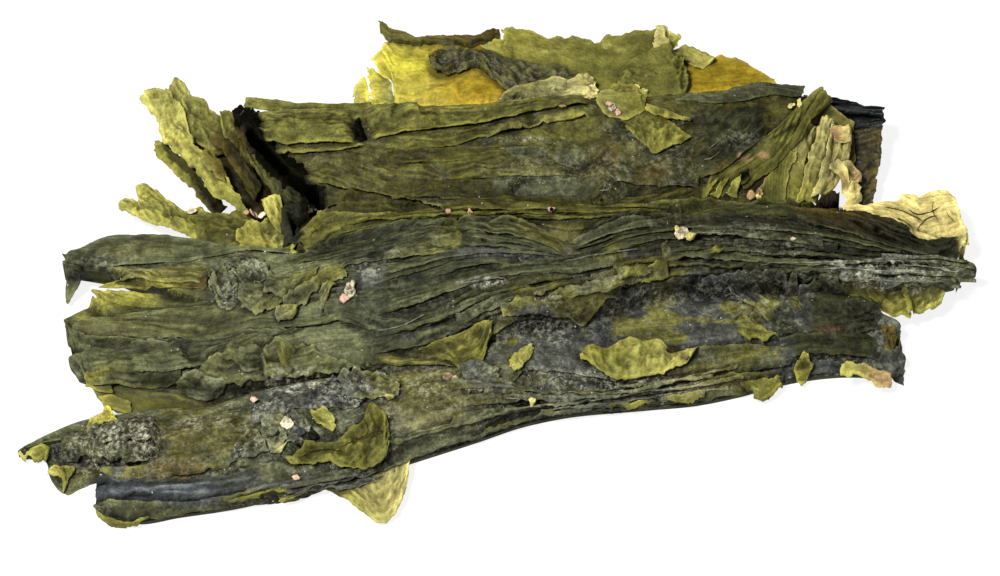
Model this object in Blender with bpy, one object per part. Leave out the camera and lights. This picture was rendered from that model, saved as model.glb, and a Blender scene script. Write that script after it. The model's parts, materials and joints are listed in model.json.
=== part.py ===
"""A crumpled, folded sheet of dried kelp, lying flat.

Three runs of the folded blade lie side by side along X: the back run, the high middle run and the
front run. Thin leaves of its ruffled margin stick out from between the runs and lie on them.
Units are millimetres until MM turns them into metres. X runs along the blade, Y to the back, Z up,
and the origin is on the ground at the middle of the whole.
"""

import math

import bmesh
import bpy
import numpy as np
from mathutils import Vector
from mathutils.bvhtree import BVHTree

MM = 0.001

# The ground plan. Each edge is a smooth curve through (x, y) points.
BACK_EDGE = [
    (-80, 53), (-62, 51), (-44, 50), (-19, 51), (5, 52), (30, 54), (57, 57), (79, 61), (94, 62),
]
BACK_SEAM = [
    (-131, 2), (-121, 7), (-103, 5), (-78, 0), (-60, -4), (-42, -1), (-22, 3), (-7, 4), (5, 2),
    (20, -6), (31, -2), (43, 3), (58, 7), (82, 11), (104, 11), (120, 8), (141, 5),
]
FRONT_SEAM = [
    (-131, -38), (-116, -44), (-94, -49), (-83, -51), (-70, -48), (-56, -45), (-30, -44), (-16, -42),
    (-4, -35), (16, -29), (28, -26), (40, -20), (55, -16), (76, -14), (117, -13), (141, -13),
]
LEFT_TAIL = [(-139, -66), (-121, -57), (-109, -55), (-99, -53.5), (-84, -53), (-70, -47), (141, 40)]
FRONT_EDGE = [
    (-139, -71), (-129, -76), (-116, -85), (-105, -91), (-91, -89), (-75, -86), (-58, -81), (-45, -78),
    (-30, -72), (-7, -63), (5, -58), (16, -55), (40, -52), (57, -50), (69, -47), (81, -43), (98, -40),
    (118, -41),
]

SEAM_GAP = 0.4  # each run stops this far short of the seam
REST_GAP = 0.4  # a leaf lies this far above what carries it
REACH = 2.8  # a leaf clears everything this near below it
SKIN = 1.6  # least thickness of a run, at its torn ends
ROUND = 6.0  # how far in from a run's edge its rounding begins
LEAF = 1.0  # thickness of one leaf
RAYS = 8  # directions in which a leaf looks around for what is below
SKY = 200.0  # height from which it looks down
FOLD_MEAN = 0.55  # part of a fold's depth that lies below the run's own height
WAVES = 4  # waves added up in a crumpled leaf
COLLECTION = "dried_kelp_sheet"

COLOURS = {  # base colour and roughness
    "kelp_back_run": ((0.075, 0.085, 0.028), 0.55),
    "kelp_middle_run": ((0.055, 0.068, 0.030), 0.60),
    "kelp_front_run": ((0.050, 0.056, 0.036), 0.55),
    "kelp_dark": ((0.018, 0.022, 0.018), 0.45),
    "kelp_green": ((0.150, 0.170, 0.045), 0.60),
    "kelp_yellow": ((0.480, 0.420, 0.040), 0.50),
    "kelp_tan": ((0.400, 0.330, 0.130), 0.70),
}


def curve(points):
    """A smooth function through (x, value) points, flat beyond the first and the last."""
    xs, values = np.array(points, float).T
    slopes = np.gradient(values, xs)

    def at(x):
        x = np.clip(x, xs[0], xs[-1])
        i = np.clip(np.searchsorted(xs, x) - 1, 0, len(xs) - 2)
        span = xs[i + 1] - xs[i]
        t = (x - xs[i]) / span
        rise = t * t * (3 - 2 * t)
        tangents = (t - 1) ** 2 * t * slopes[i] + (t - 1) * t * t * slopes[i + 1]
        return values[i] + (values[i + 1] - values[i]) * rise + span * tangents

    return at


back_edge, back_seam, front_seam = curve(BACK_EDGE), curve(BACK_SEAM), curve(FRONT_SEAM)
left_tail, front_edge = curve(LEFT_TAIL), curve(FRONT_EDGE)


def column(stations, number):
    """One column of a table of stations, as a smooth function along the sheet."""
    return curve([(row[0], row[number]) for row in stations])


def cut(offsets):
    """A torn end: how far along it reaches, from the near side (0) to the far side (1)."""
    return curve(list(zip(np.linspace(0, 1, len(offsets)), offsets)))


def folds(u, v, count, depth, lean, seed):
    """Long folds that run along a sheet and wander across it: each rises slowly and drops steeply."""
    rng = np.random.default_rng(seed)
    wander = 0
    for k in (1, 2, 3):
        turns = k * u + rng.uniform(0, 1)
        wander = wander + rng.uniform(0.3, 0.5) / k * np.sin(2 * math.pi * turns + rng.uniform(1, 3) * v)
    phase = count * v + wander
    rise = np.sin(math.pi * (phase - np.floor(phase)) ** lean)
    swell = 0.7 + 0.3 * np.sin(2 * math.pi * (2 * u + rng.uniform(0, 1)) + 4 * v)
    return depth * swell * (rise - FOLD_MEAN)


def crumple(s, t, length, depth, seed):
    """Broad waves in several directions, as a leaf has when it dries loose."""
    rng = np.random.default_rng(seed)
    height = 0
    for _ in range(WAVES):
        turn, shift = rng.uniform(0, math.pi), rng.uniform(0, 2 * math.pi)
        along = (s * math.cos(turn) + t * math.sin(turn)) / (length * rng.uniform(0.8, 1.4))
        height = height + 0.5 * depth * np.sin(2 * math.pi * along + shift)
    return height


def grid_piece(name, material, cells, place):
    """A closed piece from a flat grid of cells: place(u, v) gives its plan, its top and its underside."""
    bm = bmesh.new()
    bmesh.ops.create_grid(bm, x_segments=cells[0], y_segments=cells[1], size=0.5)
    bmesh.ops.triangulate(bm, faces=bm.faces[:], quad_method="FIXED")
    flat = np.array([vert.co[:] for vert in bm.verts]) + 0.5
    x, y, top, under = place(flat[:, 0], flat[:, 1])
    raised = bmesh.ops.extrude_face_region(bm, geom=bm.faces[:])["geom"]
    upper = [item for item in raised if isinstance(item, bmesh.types.BMVert)]
    bm.verts.index_update()
    numbers = {tuple(np.round(point, 5)): i for i, point in enumerate(flat)}
    for vert in upper:
        vert.tag = True
    for vert in bm.verts:
        i = numbers[tuple(np.round(np.array(vert.co[:]) + 0.5, 5))]
        vert.co = Vector((x[i], y[i], top[i] if vert.tag else under[i])) * MM
    bmesh.ops.recalc_face_normals(bm, faces=bm.faces[:])
    mesh = bpy.data.meshes.new(name)
    bm.to_mesh(mesh)
    bm.free()
    piece = bpy.data.objects.new(name, mesh)
    piece.data.materials.append(material)
    bpy.context.scene.collection.children[COLLECTION].objects.link(piece)
    return piece


def rounded(distance, drop):
    """How much lower the top is this near a rounded edge, as a quarter circle over ROUND."""
    inward = np.clip(distance / ROUND, 0, 1)
    return drop * (1 - np.sqrt(1 - (1 - inward) ** 2))


def make_run(name, material, cells, near, far, left, right, stations, fold, drops):
    """One run of the folded blade. Its plan lies between the curves near and far and the torn ends
    left and right. A station is (x, height at near, height at far, crown between them, underside).
    drops is how far the rounded near and far edges come down."""
    heights = [column(stations, k) for k in range(1, 5)]
    count, depth, lean, seed = fold

    def place(u, v):
        x = left(v) + (right(v) - left(v)) * u
        y = near(x) + (far(x) - near(x)) * v
        z_near, z_far, crown, under = (height(x) for height in heights)
        top = z_near + (z_far - z_near) * v + crown * 4 * v * (1 - v)
        top = top + folds(u, v, count, depth, lean, seed)
        width = far(x) - near(x)
        top = top - rounded(v * width, drops[0]) - rounded((1 - v) * width, drops[1])
        return x, y, np.maximum(top, SKIN), np.clip(under, 0, np.maximum(top - SKIN, 0))

    return grid_piece(name, material, cells, place)


def highest_below(x, y, carriers):
    """The top of the carriers under and close around each point, or a large negative number."""
    turns = 2 * math.pi * np.arange(RAYS) / RAYS
    around = [(0, 0)] + [
        (reach * math.cos(turn), reach * math.sin(turn)) for reach in (REACH / 2, REACH) for turn in turns
    ]
    trees = []
    for carrier in carriers:
        bm = bmesh.new()
        bm.from_mesh(carrier.data)
        trees.append(BVHTree.FromBMesh(bm))
        bm.free()
    found = np.full(len(x), -SKY)
    for i, (px, py) in enumerate(zip(x, y)):
        for dx, dy in around:
            for tree in trees:
                hit = tree.ray_cast(Vector((px + dx, py + dy, SKY)) * MM, Vector((0, 0, -1)))[0]
                if hit:
                    found[i] = max(found[i], hit.z / MM)
    return found


def make_leaf(name, material, cells, origin, heading, stations, ends, wave, carriers=(), arch=0):
    """One thin leaf. It runs from origin along heading, in degrees from +X. A station is (s, near edge,
    far edge, height at near, height at far). It lies on its carriers wherever it crosses them, and its
    back is arched when it is rolled up."""
    edges = [column(stations, k) for k in range(1, 5)]
    start, end = (cut(offsets) for offsets in ends)
    turn = math.radians(heading)

    def place(u, v):
        s = start(v) + (end(v) - start(v)) * u
        near, far, z_near, z_far = (edge(s) for edge in edges)
        t = near + (far - near) * v
        x = origin[0] + s * math.cos(turn) - t * math.sin(turn)
        y = origin[1] + s * math.sin(turn) + t * math.cos(turn)
        under = z_near + (z_far - z_near) * v + crumple(s, t, *wave) - LEAF
        under = np.maximum(under, 0)
        if carriers:
            under = np.maximum(under, highest_below(x, y, carriers) + REST_GAP)
        return x, y, under + LEAF + arch * np.sqrt(1 - (2 * v - 1) ** 2), under

    return grid_piece(name, material, cells, place)


def plant(name):
    """A dull plant-like material in the part's colour."""
    colour, roughness = COLOURS[name]
    material = bpy.data.materials.new(name)
    material.use_nodes = True
    shader = material.node_tree.nodes["Principled BSDF"]
    shader.inputs["Base Color"].default_value = (*colour, 1)
    shader.inputs["Roughness"].default_value = roughness
    shader.inputs["Metallic"].default_value = 0
    material.diffuse_color = (*colour, 1)
    return material


def make_runs(look):
    """The three runs. The back and the front one carry leaves."""
    back = make_run(
        "back_run", look["kelp_back_run"], (30, 14),
        lambda x: back_seam(x) + SEAM_GAP, back_edge,
        cut([-58, -60, -52, -62, -70, -77, -80]), cut([93, 92, 93, 91, 93, 94]),
        [(-80, 13, 18, 1, 15), (-62, 12, 21, 2, 12), (-50, 12, 22, 2, 0), (-20, 12, 23, 2, 0),
         (20, 12, 23, 2, 0), (60, 13, 22, 2, 0), (80, 11, 19, 2, 0), (94, 8, 16, 1, 6)],
        (4, 2.0, 0.8, 11), (0, 8),
    )
    make_run(
        "middle_run", look["kelp_middle_run"], (42, 20),
        lambda x: front_seam(x) + SEAM_GAP, lambda x: back_seam(x) - SEAM_GAP,
        cut([-124, -127, -121, -128, -126, -120, -98, -80, -96, -108, -122, -131, -127, -118]),
        cut([122, 134, 128, 140, 139, 131, 136, 127, 134]),
        [(-131, 5, 10, 1, 3), (-103, 6, 13, 3, 3), (-78, 8, 15, 4, 0), (-60, 10, 17, 6, 0),
         (-20, 13, 22, 8, 0), (20, 16, 23, 8, 0), (45, 16, 24, 6, 0), (76, 15, 21, 5, 0),
         (104, 12, 17, 3, 3), (120, 11, 14, 1, 5), (141, 9, 10, 0, 6)],
        (5, 3.0, 0.75, 5), (3, 4),
    )
    front = make_run(
        "front_run", look["kelp_front_run"], (40, 16),
        front_edge, lambda x: np.minimum(front_seam(x) - SEAM_GAP, left_tail(x)),
        cut([-106, -115, -110, -114, -100, -117, -126, -139, -133, -124]),
        cut([111, 118, 113, 117, 110, 113]),
        [(-139, 2.5, 4, 1, 0), (-110, 4, 5, 3, 0), (-70, 4, 7, 4, 0), (-30, 4, 10, 4, 0),
         (0, 4, 12, 3, 0), (40, 4, 12, 3, 0), (76, 4, 11, 2, 0), (100, 4, 10, 1, 0), (118, 3, 8, 0, 0)],
        (4, 2.0, 0.8, 8), (3, 0),
    )
    return back, front


def make_back_leaves(look):
    """The leaves that stick out behind the back run."""
    yellow = make_leaf(
        "back_yellow_leaf", look["kelp_yellow"], (12, 6), (0, 0), 0,
        [(-48, 51, 73, 8, 5), (-40, 51, 92, 9, 9), (-28, 51, 87, 9, 10), (-14, 52, 86, 10, 11),
         (1, 53, 88, 11, 12)],
        ([-44, -46, -47, -46, -40], [-1.5, -1, -1, -1.5, -2]), (16, 0.8, 21),
    )
    green = make_leaf(
        "back_green_leaf", look["kelp_green"], (12, 6), (0, 0), 0,
        [(-1, 53, 89, 11, 12), (13, 54, 87, 12, 13), (31, 55, 85, 13, 13), (48, 57, 90, 12, 12),
         (57, 58, 86, 10, 9)],
        ([0, 0, 1, 1, 0], [57, 56, 55, 57, 52]), (18, 0.9, 4),
    )
    make_leaf(
        "back_amber_leaf", look["kelp_yellow"], (8, 5), (0, 0), 0,
        [(57, 58, 84, 9, 7), (70, 60.5, 83, 9, 7), (78, 61.5, 79, 8, 6), (86, 62.5, 73, 7, 5)],
        ([59, 58, 58, 58], [84, 85, 85, 84]), (16, 0.7, 9),
    )
    make_leaf(
        "back_dark_ruffle", look["kelp_dark"], (12, 4), (-22, 78), -17,
        [(0, -3, 4, 12, 12), (16, -5, 5, 12, 12), (36, -6, 4, 12, 12), (55, -4, 4, 12, 12)],
        ([0, 2, 1], [53, 55, 54]), (10, 1.0, 14), (yellow, green),
    )

def make_left_leaves(look):
    """The two crumpled leaves at the left, and the ply that shows below the middle run's torn end."""
    upper = make_leaf(
        "left_upper_leaf", look["kelp_green"], (12, 6), (-58, 10), 134,
        [(0, -3, 5, 12, 8), (15, -5, 8, 14, 7), (30, -7, 12, 16, 6), (45, -9, 14, 17, 5),
         (58, -12, 14, 17, 6), (66, -9, 9, 16, 8)],
        ([0, 0, 1, 2], [66, 62, 67, 60, 65]), (15, 1.2, 33),
    )
    make_leaf(
        "left_lower_leaf", look["kelp_green"], (10, 5), (-64, 7), 158,
        [(0, -5, 5, 12, 10), (12, -6, 7, 12, 9), (25, -5, 9, 10, 8), (40, -5, 7, 9, 7), (54, -5, 5, 9, 6)],
        ([0, 1, 0], [52, 47, 54]), (12, 1.0, 17), (upper,),
    )
    make_leaf(
        "left_ply", look["kelp_yellow"], (10, 3), (0, 0), 0,
        [(-119, -52, -44, 2, 3), (-110, -54, -47, 2, 3), (-100, -52.6, -48.6, 3, 3),
         (-88, -52.4, -51.2, 3, 3)],
        ([-118, -119, -117], [-89, -89, -89]), (9, 0.3, 6),
    )


def make_right_leaves(look, back, front):
    """The dark ply, the roll and the ruffles at the right ends of the runs."""
    dark = make_leaf(
        "right_dark_ply", look["kelp_dark"], (8, 6), (0, 0), 0,
        [(94.6, 30, 61, 7, 13), (105, 27, 58, 5, 12), (112, 25, 58, 4, 11), (118, 25, 57, 4, 10)],
        ([94.8, 94.8, 94.8], [110, 112, 115, 118]), (18, 0.5, 3),
    )
    ruffle = make_leaf(
        "right_ruffle", look["kelp_tan"], (10, 8), (0, 0), 0,
        [(64, 15, 20, 12, 12), (76, 14, 36, 12, 13), (88, 13, 49, 11, 14), (100, 15, 52, 9, 13),
         (110, 24, 47, 9, 12)],
        ([66, 66, 68], [108, 111, 109, 110, 107]), (11, 1.2, 12), (back, dark),
    )
    make_leaf(
        "right_roll", look["kelp_green"], (12, 6), (59, 14), 43,
        [(0, -6, 6, 14, 14), (15, -5, 5, 15, 15), (35, -3.5, 3.5, 15, 15), (57, -2.5, 2.5, 15, 15)],
        ([2, 0, 3], [55, 58, 56]), (20, 0.4, 2), (back, dark, ruffle), arch=3,
    )
    make_leaf(
        "right_tan_leaf", look["kelp_tan"], (9, 5), (0, 0), 0,
        [(104, 11.7, 18, 9, 10), (112, 10.4, 20.5, 9, 11), (121, 8.6, 21, 9, 12), (133, 6.8, 23, 9, 12),
         (141, 5.8, 16, 8, 10)],
        ([105, 105, 106], [140, 141, 140, 138]), (12, 0.8, 7),
    )
    make_leaf(
        "right_green_ruffle", look["kelp_green"], (10, 4), (0, 0), 0,
        [(94, -18, -15, 9, 10), (104, -20, -14.4, 8, 10), (119, -21, -14.2, 6, 9), (131, -17, -14, 6, 8)],
        ([95, 94, 95], [128, 131, 130]), (9, 0.8, 5), (front,),
    )


def make_loose_leaves(look, back, front):
    """The torn leaves that lie on the runs, and those that peep out in front."""
    make_leaf(
        "crest_leaf", look["kelp_green"], (8, 6), (27, 46), 5,
        [(0, -3, 9, 20, 22), (8, -9, 10, 20, 23), (20, -10, 11, 20, 22), (31, -5, 9, 18, 21)],
        ([0, 1, 0], [30, 28, 31]), (12, 0.9, 19), (back,),
    )
    make_leaf(
        "front_green_leaf", look["kelp_green"], (8, 5), (-60, -74), 20,
        [(0, -3, 3, 6, 6), (10, -6, 6, 6, 8), (22, -7, 9, 6, 8), (31, -4, 6, 6, 8)],
        ([0, 2, 1], [29, 31, 30]), (12, 0.8, 23), (front,),
    )
    make_leaf(
        "front_yellow_leaf", look["kelp_yellow"], (9, 5), (20, -40), -8,
        [(0, -3, 1, 10, 10), (10, -8, 5, 10, 11), (22, -8, 6, 10, 12), (34, -3, 4, 9, 11)],
        ([0, 2, 3], [31, 34, 33]), (12, 0.8, 29), (front,),
    )
    make_leaf(
        "bottom_leaf", look["kelp_yellow"], (8, 4), (0, 0), 0,
        [(-54, -83, -80.5, 2, 3), (-46, -85, -78.8, 2, 3), (-36, -89, -75.3, 2, 3),
         (-28, -84, -72.1, 2, 3)],
        ([-52, -53, -53], [-28, -29, -28]), (10, 0.4, 31),
    )
    make_leaf(
        "right_end_leaf", look["kelp_green"], (7, 3), (96, -34), -20,
        [(0, -3, 2, 8, 9), (8, -4, 2.5, 8, 9), (16, -4, 3, 7, 8), (22, -3, 2, 6, 7)],
        ([0, 1, 0], [20, 22, 21]), (9, 0.5, 37), (front,),
    )


def main():
    for thing in list(bpy.data.objects):
        bpy.data.objects.remove(thing)
    collection = bpy.data.collections.new(COLLECTION)
    bpy.context.scene.collection.children.link(collection)
    look = {name: plant(name) for name in COLOURS}
    back, front = make_runs(look)
    make_back_leaves(look)
    make_left_leaves(look)
    make_right_leaves(look, back, front)
    make_loose_leaves(look, back, front)


main()
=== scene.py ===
"""The look of the crumpled, folded sheet of dried kelp.

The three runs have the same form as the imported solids, in finer cells. Thin plies and torn leaves are
laid on them one after another, each draped over what is already there. An edge of a ply is a list of
points of the picture, in its 1000 by 576 units, and seat() finds the place on the kelp that shows there.
All other lengths are millimetres until MM turns them into metres.
"""

import json
import math

import bpy
import numpy as np
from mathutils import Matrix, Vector


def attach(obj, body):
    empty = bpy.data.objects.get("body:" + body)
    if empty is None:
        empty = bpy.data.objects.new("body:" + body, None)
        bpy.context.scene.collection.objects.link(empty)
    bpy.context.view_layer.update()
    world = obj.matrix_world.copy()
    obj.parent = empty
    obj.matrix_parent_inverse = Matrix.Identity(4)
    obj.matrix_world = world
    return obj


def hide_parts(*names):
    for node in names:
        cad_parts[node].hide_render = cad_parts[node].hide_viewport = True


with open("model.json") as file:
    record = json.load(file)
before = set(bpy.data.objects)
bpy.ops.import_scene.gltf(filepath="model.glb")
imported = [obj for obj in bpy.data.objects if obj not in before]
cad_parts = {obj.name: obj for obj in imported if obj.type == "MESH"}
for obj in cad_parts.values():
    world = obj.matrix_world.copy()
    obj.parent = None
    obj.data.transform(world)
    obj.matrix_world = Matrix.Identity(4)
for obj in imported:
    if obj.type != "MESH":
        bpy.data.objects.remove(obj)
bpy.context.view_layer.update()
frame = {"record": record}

MM = 0.001

# The view
ELEVATION = math.radians(52)
DISTANCE = 900.0
LENS, SENSOR = 108.0, 36.0
TARGET = (-1.0, -5.0, 0.0)
PICTURE = (1000, 576)
FOCAL = PICTURE[0] * LENS / SENSOR

# The ground plan of the runs, as in the solids
BACK_EDGE = [
    (-80, 53), (-62, 51), (-44, 50), (-19, 51), (5, 52), (30, 54), (57, 57), (79, 61), (94, 62),
]
BACK_SEAM = [
    (-131, 2), (-121, 7), (-103, 5), (-78, 0), (-60, -4), (-42, -1), (-22, 3), (-7, 4), (5, 2),
    (20, -6), (31, -2), (43, 3), (58, 7), (82, 11), (104, 11), (120, 8), (141, 5),
]
FRONT_SEAM = [
    (-131, -38), (-116, -44), (-94, -49), (-83, -51), (-70, -48), (-56, -45), (-30, -44), (-16, -42),
    (-4, -35), (16, -29), (28, -26), (40, -20), (55, -16), (76, -14), (117, -13), (141, -13),
]
LEFT_TAIL = [(-139, -66), (-121, -57), (-109, -55), (-99, -53.5), (-84, -53), (-70, -47), (141, 40)]
FRONT_EDGE = [
    (-139, -71), (-129, -76), (-116, -85), (-105, -91), (-91, -89), (-75, -86), (-58, -81), (-45, -78),
    (-30, -72), (-7, -63), (5, -58), (16, -55), (40, -52), (57, -50), (69, -47), (81, -43), (98, -40),
    (118, -41),
]
SEAM_GAP = 0.4  # from a run to the seam that it ends at
FRONT_INSET = 1.5  # from the front run to its outline
SKIN = 1.6  # a run is nowhere thinner
ROUND = 6.0  # how far in from its edges a run is rounded
FOLD_MEAN = 0.55  # the mean height of a fold, as a share of its depth
WALL_SHARES = (0, 0.33, 0.66, 1)  # the levels of a run's wall, from its top down
FLOOR_STEP = 6  # cells of a run's top to one of its underside

CELL = (0.60, 0.42)  # size of a ply's cells, along and across
TOP = 29.6  # nothing is higher
SOFT_TOP = 3.0  # how far below the top the heights start to be held back
LOWEST = 0.35  # no sheet lies lower
EDGE = 0.3  # depth of a ply's rim
RIM_FLOOR = 0.02  # no rim reaches lower
PROBE = 40  # places along an edge at which it is seated
BARE = 9.0  # farther from an edge than any of its marks reaches
END_WAVE, END_REACH = 1.6, 2.5  # the size of the waves of a torn end, and how far in they reach
RIM_SHARE, RIM_REACH = 0.3, 0.4  # how much of its colour, partly a painted highlight, a rim gives to a free edge, and how far in
CLEAR = 0.25  # how far above the kelp a sheet with heights is kept
TOUCH = 0.12  # and one without
ACROSS, DEEP_PIXEL = 0.30, 0.38  # size of a picture unit on the floor, to the right and to the back
THREAD_WIDTH = 0.7  # in the picture
START_HEIGHT, DESCENT = 34.0, 0.15  # where a ray of the camera starts to look for the kelp, and its steps
SALT = (0.64, 0.63, 0.46)

# Colours, as the share of light sent back
HUE = (0.22, 0.15, 0.14)  # how far each colour swings in patches
# The next colour is painted shadow: near-black, for sheets and marks put in hollows and holes where there is
# only shadow
SHADOW_BLACK = (0.004, 0.004, 0.002)
BLACK = (0.008, 0.009, 0.009)
DEEP = (0.020, 0.022, 0.008)
EMBER = (0.090, 0.036, 0.010)
SAGE = (0.112, 0.114, 0.036)
DUN = (0.190, 0.180, 0.072)
DARK = (0.040, 0.043, 0.013)
GREYGREEN = (0.084, 0.090, 0.036)
PALEGREY = (0.150, 0.157, 0.080)
HAIR = (0.150, 0.152, 0.115)
SLATE = (0.068, 0.073, 0.058)
# a painted sheen: colour that stands in for light on a smooth roll
SHEEN = (0.120, 0.130, 0.135)
INK = (0.026, 0.030, 0.032)
OLIVE = (0.090, 0.085, 0.014)
OLIVE_DARK = (0.052, 0.048, 0.006)
OLIVE_PALE = (0.148, 0.140, 0.026)
BROWN = (0.075, 0.054, 0.007)
LEAF = (0.228, 0.212, 0.036)
LIME = (0.355, 0.335, 0.078)
LEMON = (0.710, 0.630, 0.062)
YELLOW = (0.510, 0.445, 0.062)
PINE = (0.056, 0.063, 0.026)
PINK = (0.560, 0.330, 0.240)
CREAM = (0.560, 0.500, 0.330)
AMBER = (0.360, 0.245, 0.011)
TAN = (0.740, 0.610, 0.215)
PALE = (0.480, 0.425, 0.145)
RUST = (0.380, 0.240, 0.110)
MOSS = (0.285, 0.268, 0.070)
UMBER = (0.030, 0.022, 0.004)


def curve(points):
    """A smooth function through (x, value) points, flat beyond the first and the last."""
    xs, values = np.array(points, float).T
    slopes = np.gradient(values, xs)

    def at(x):
        x = np.clip(x, xs[0], xs[-1])
        i = np.clip(np.searchsorted(xs, x) - 1, 0, len(xs) - 2)
        span = xs[i + 1] - xs[i]
        t = (x - xs[i]) / span
        rise = t * t * (3 - 2 * t)
        tangents = (t - 1) ** 2 * t * slopes[i] + (t - 1) * t * t * slopes[i + 1]
        return values[i] + (values[i + 1] - values[i]) * rise + span * tangents

    return at


back_edge, back_seam, front_seam = curve(BACK_EDGE), curve(BACK_SEAM), curve(FRONT_SEAM)
left_tail, front_edge = curve(LEFT_TAIL), curve(FRONT_EDGE)


def column(stations, number):
    """One value of a run's stations as a function of x."""
    return curve([(row[0], row[number]) for row in stations])


def cut(offsets):
    """The jagged end of a run: x as a function of the share of the run's depth."""
    return curve(list(zip(np.linspace(0, 1, len(offsets)), offsets)))


LATTICE = 128  # cells a side before the noise comes again
tables = {}


def noise(x, y, seed):
    """Smooth noise between -1 and 1, with features one unit wide."""
    if seed not in tables:
        tables[seed] = np.random.default_rng(seed).uniform(-1, 1, (LATTICE, LATTICE))
    table = tables[seed]
    i, j = np.floor(x).astype(int), np.floor(y).astype(int)
    a, b = x - i, y - j
    a, b = a * a * (3 - 2 * a), b * b * (3 - 2 * b)
    i0, i1, j0, j1 = i % LATTICE, (i + 1) % LATTICE, j % LATTICE, (j + 1) % LATTICE
    low = table[i0, j0] * (1 - a) + table[i1, j0] * a
    high = table[i0, j1] * (1 - a) + table[i1, j1] * a
    return low * (1 - b) + high * b


OCTAVES = 4


def fractal(x, y, seed):
    """Noise with finer and finer features, between about -1 and 1."""
    total, size = 0, 1.0
    for k in range(OCTAVES):
        total = total + size * noise(x * 2 ** k + 17 * k, y * 2 ** k - 9 * k, seed + k)
        size *= 0.5
    return total / (2 - size * 2)


def torn(s, seed):
    """The raggedness of a torn edge: short and long waves, and steps where a bit is missing."""
    gaps = np.tanh(8 * noise(s / 2.6, s * 0 + 3, seed + 31))
    short = fractal(s / 1.2, s * 0 + seed, seed)
    return 0.6 * short + 0.4 * gaps + 0.7 * noise(s / 7, s * 0 + 5, seed + 37)


def step(x, low, high):
    """From 0 below low to 1 above high, smoothly."""
    t = np.clip((x - low) / (high - low), 0, 1)
    return t * t * (3 - 2 * t)


PLEAT_SHARES = (0.5, 1.0, 2.1)  # the widths of the folds, as shares of the mean one
STEEP = 0.13  # the share of a fold that its steep side takes up
CREASE_SHADE_HALF_WIDTH = 0.26  # half the width of the line of painted shade between two folds


def pleats(s, t, size, seed):
    """Long folds along a ply, which lean, start and end, each one laid over the next one in front: their
    height, how near the line of painted shade between two of them is, and a tone that differs from fold to
    fold."""
    rng = np.random.default_rng(seed)
    height, line, tone = 0, 0, 0
    for k, share in enumerate(PLEAT_SHARES):
        lean = rng.uniform(-0.2, 0.2)
        phase = (t + lean * s) / (size * share) + 1.0 * noise(s / 22 + 7 * k, t / 10, seed + k)
        phase = phase + 0.18 * noise(s / 4, t / 3 + 7 * k, seed + 40 + k)
        part = phase - np.floor(phase)
        strength = step(noise(s / 13 + 40 * k, t / 5, seed + 10 + k), -0.3, 0.5)
        rise = np.where(part < STEEP, part / STEEP, (1 - part) / (1 - STEEP))
        height = height + strength * share * (2 * rise - 1)
        away = np.minimum(part, 1 - part) * size * share
        line = np.maximum(line, strength * np.exp(-(away / CREASE_SHADE_HALF_WIDTH) ** 2))
        tone = tone + strength * noise(np.floor(phase) * 1.7 + 3.3, s / 25, seed + 60 + k)
    return height / (sum(PLEAT_SHARES) / 2), line, tone


FACETS = 48  # facets a side before the pattern comes again
FINER = 0.48  # each set of facets as a share of the one before


def crumpled(x, y, size, seed):
    """Flat facets that meet in short straight creases, as in crumpled paper, from about -1 to 1."""
    rng = np.random.default_rng(seed)
    site = rng.uniform(0, 1, (2, FACETS, FACETS))
    turn = rng.uniform(0, math.pi, (FACETS, FACETS))
    cos, sin, level = np.cos(turn), np.sin(turn), rng.uniform(-0.35, 0.35, (FACETS, FACETS))
    total, share, way = 0, 1.0, 1
    for _ in range(3):
        u = x / (size * share) + 0.3 * noise(x / size + 11, y / size, seed + 1)
        v = y / (size * share) + 0.3 * noise(x / size, y / size + 23, seed + 2)
        i, j = np.floor(u).astype(int), np.floor(v).astype(int)
        best = np.full(u.shape, -9.0)
        for di in (-1, 0, 1):
            for dj in (-1, 0, 1):
                a, b = (i + di) % FACETS, (j + dj) % FACETS
                du, dv = u - i - di - site[0, a, b], v - j - dj - site[1, a, b]
                along, over = du * cos[a, b] + dv * sin[a, b], dv * cos[a, b] - du * sin[a, b]
                best = np.maximum(best, level[a, b] - np.maximum(np.abs(along) * 0.75, np.abs(over)))
        total = total + way * share * (best * 2 + 0.7)
        share *= FINER
        way = -way
    return total / 1.4


def plan(px, py, height):
    """The point of the ground plan that a point of the picture shows at that height."""
    up, side = (PICTURE[1] / 2 - py) / FOCAL, (px - PICTURE[0] / 2) / FOCAL
    sin, cos = math.sin(ELEVATION), math.cos(ELEVATION)
    k = (DISTANCE * sin - height) / (sin - up * cos)
    return TARGET[0] + k * side, TARGET[1] - DISTANCE * cos + k * (cos + up * sin)


# The height of everything laid so far, on a raster over the ground plan
PITCH = 0.35
WEST, SOUTH = -146.0, -98.0
RASTER_SIZE = (292, 196)
ground = np.zeros([int(size / PITCH) for size in RASTER_SIZE])
paint = np.tile(np.array(DARK), (*ground.shape, 1))


def read(raster, x, y):
    """The value of a raster at places of the ground plan."""
    i = np.clip((x - WEST) / PITCH, 0, raster.shape[0] - 1.001)
    j = np.clip((y - SOUTH) / PITCH, 0, raster.shape[1] - 1.001)
    i0, j0 = i.astype(int), j.astype(int)
    a, b = i - i0, j - j0
    low = raster[i0, j0] * (1 - a) + raster[i0 + 1, j0] * a
    high = raster[i0, j0 + 1] * (1 - a) + raster[i0 + 1, j0 + 1] * a
    return low * (1 - b) + high * b


def finer(values):
    """A grid of values with one more between each two."""
    for axis in (0, 1):
        middle = (np.take(values, range(1, values.shape[axis]), axis)
                  + np.take(values, range(values.shape[axis] - 1), axis)) / 2
        shape = list(values.shape)
        shape[axis] = 2 * shape[axis] - 1
        out = np.empty(shape)
        where = [slice(None), slice(None)]
        where[axis] = slice(0, None, 2)
        out[tuple(where)] = values
        where[axis] = slice(1, None, 2)
        out[tuple(where)] = middle
        values = out
    return values


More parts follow.
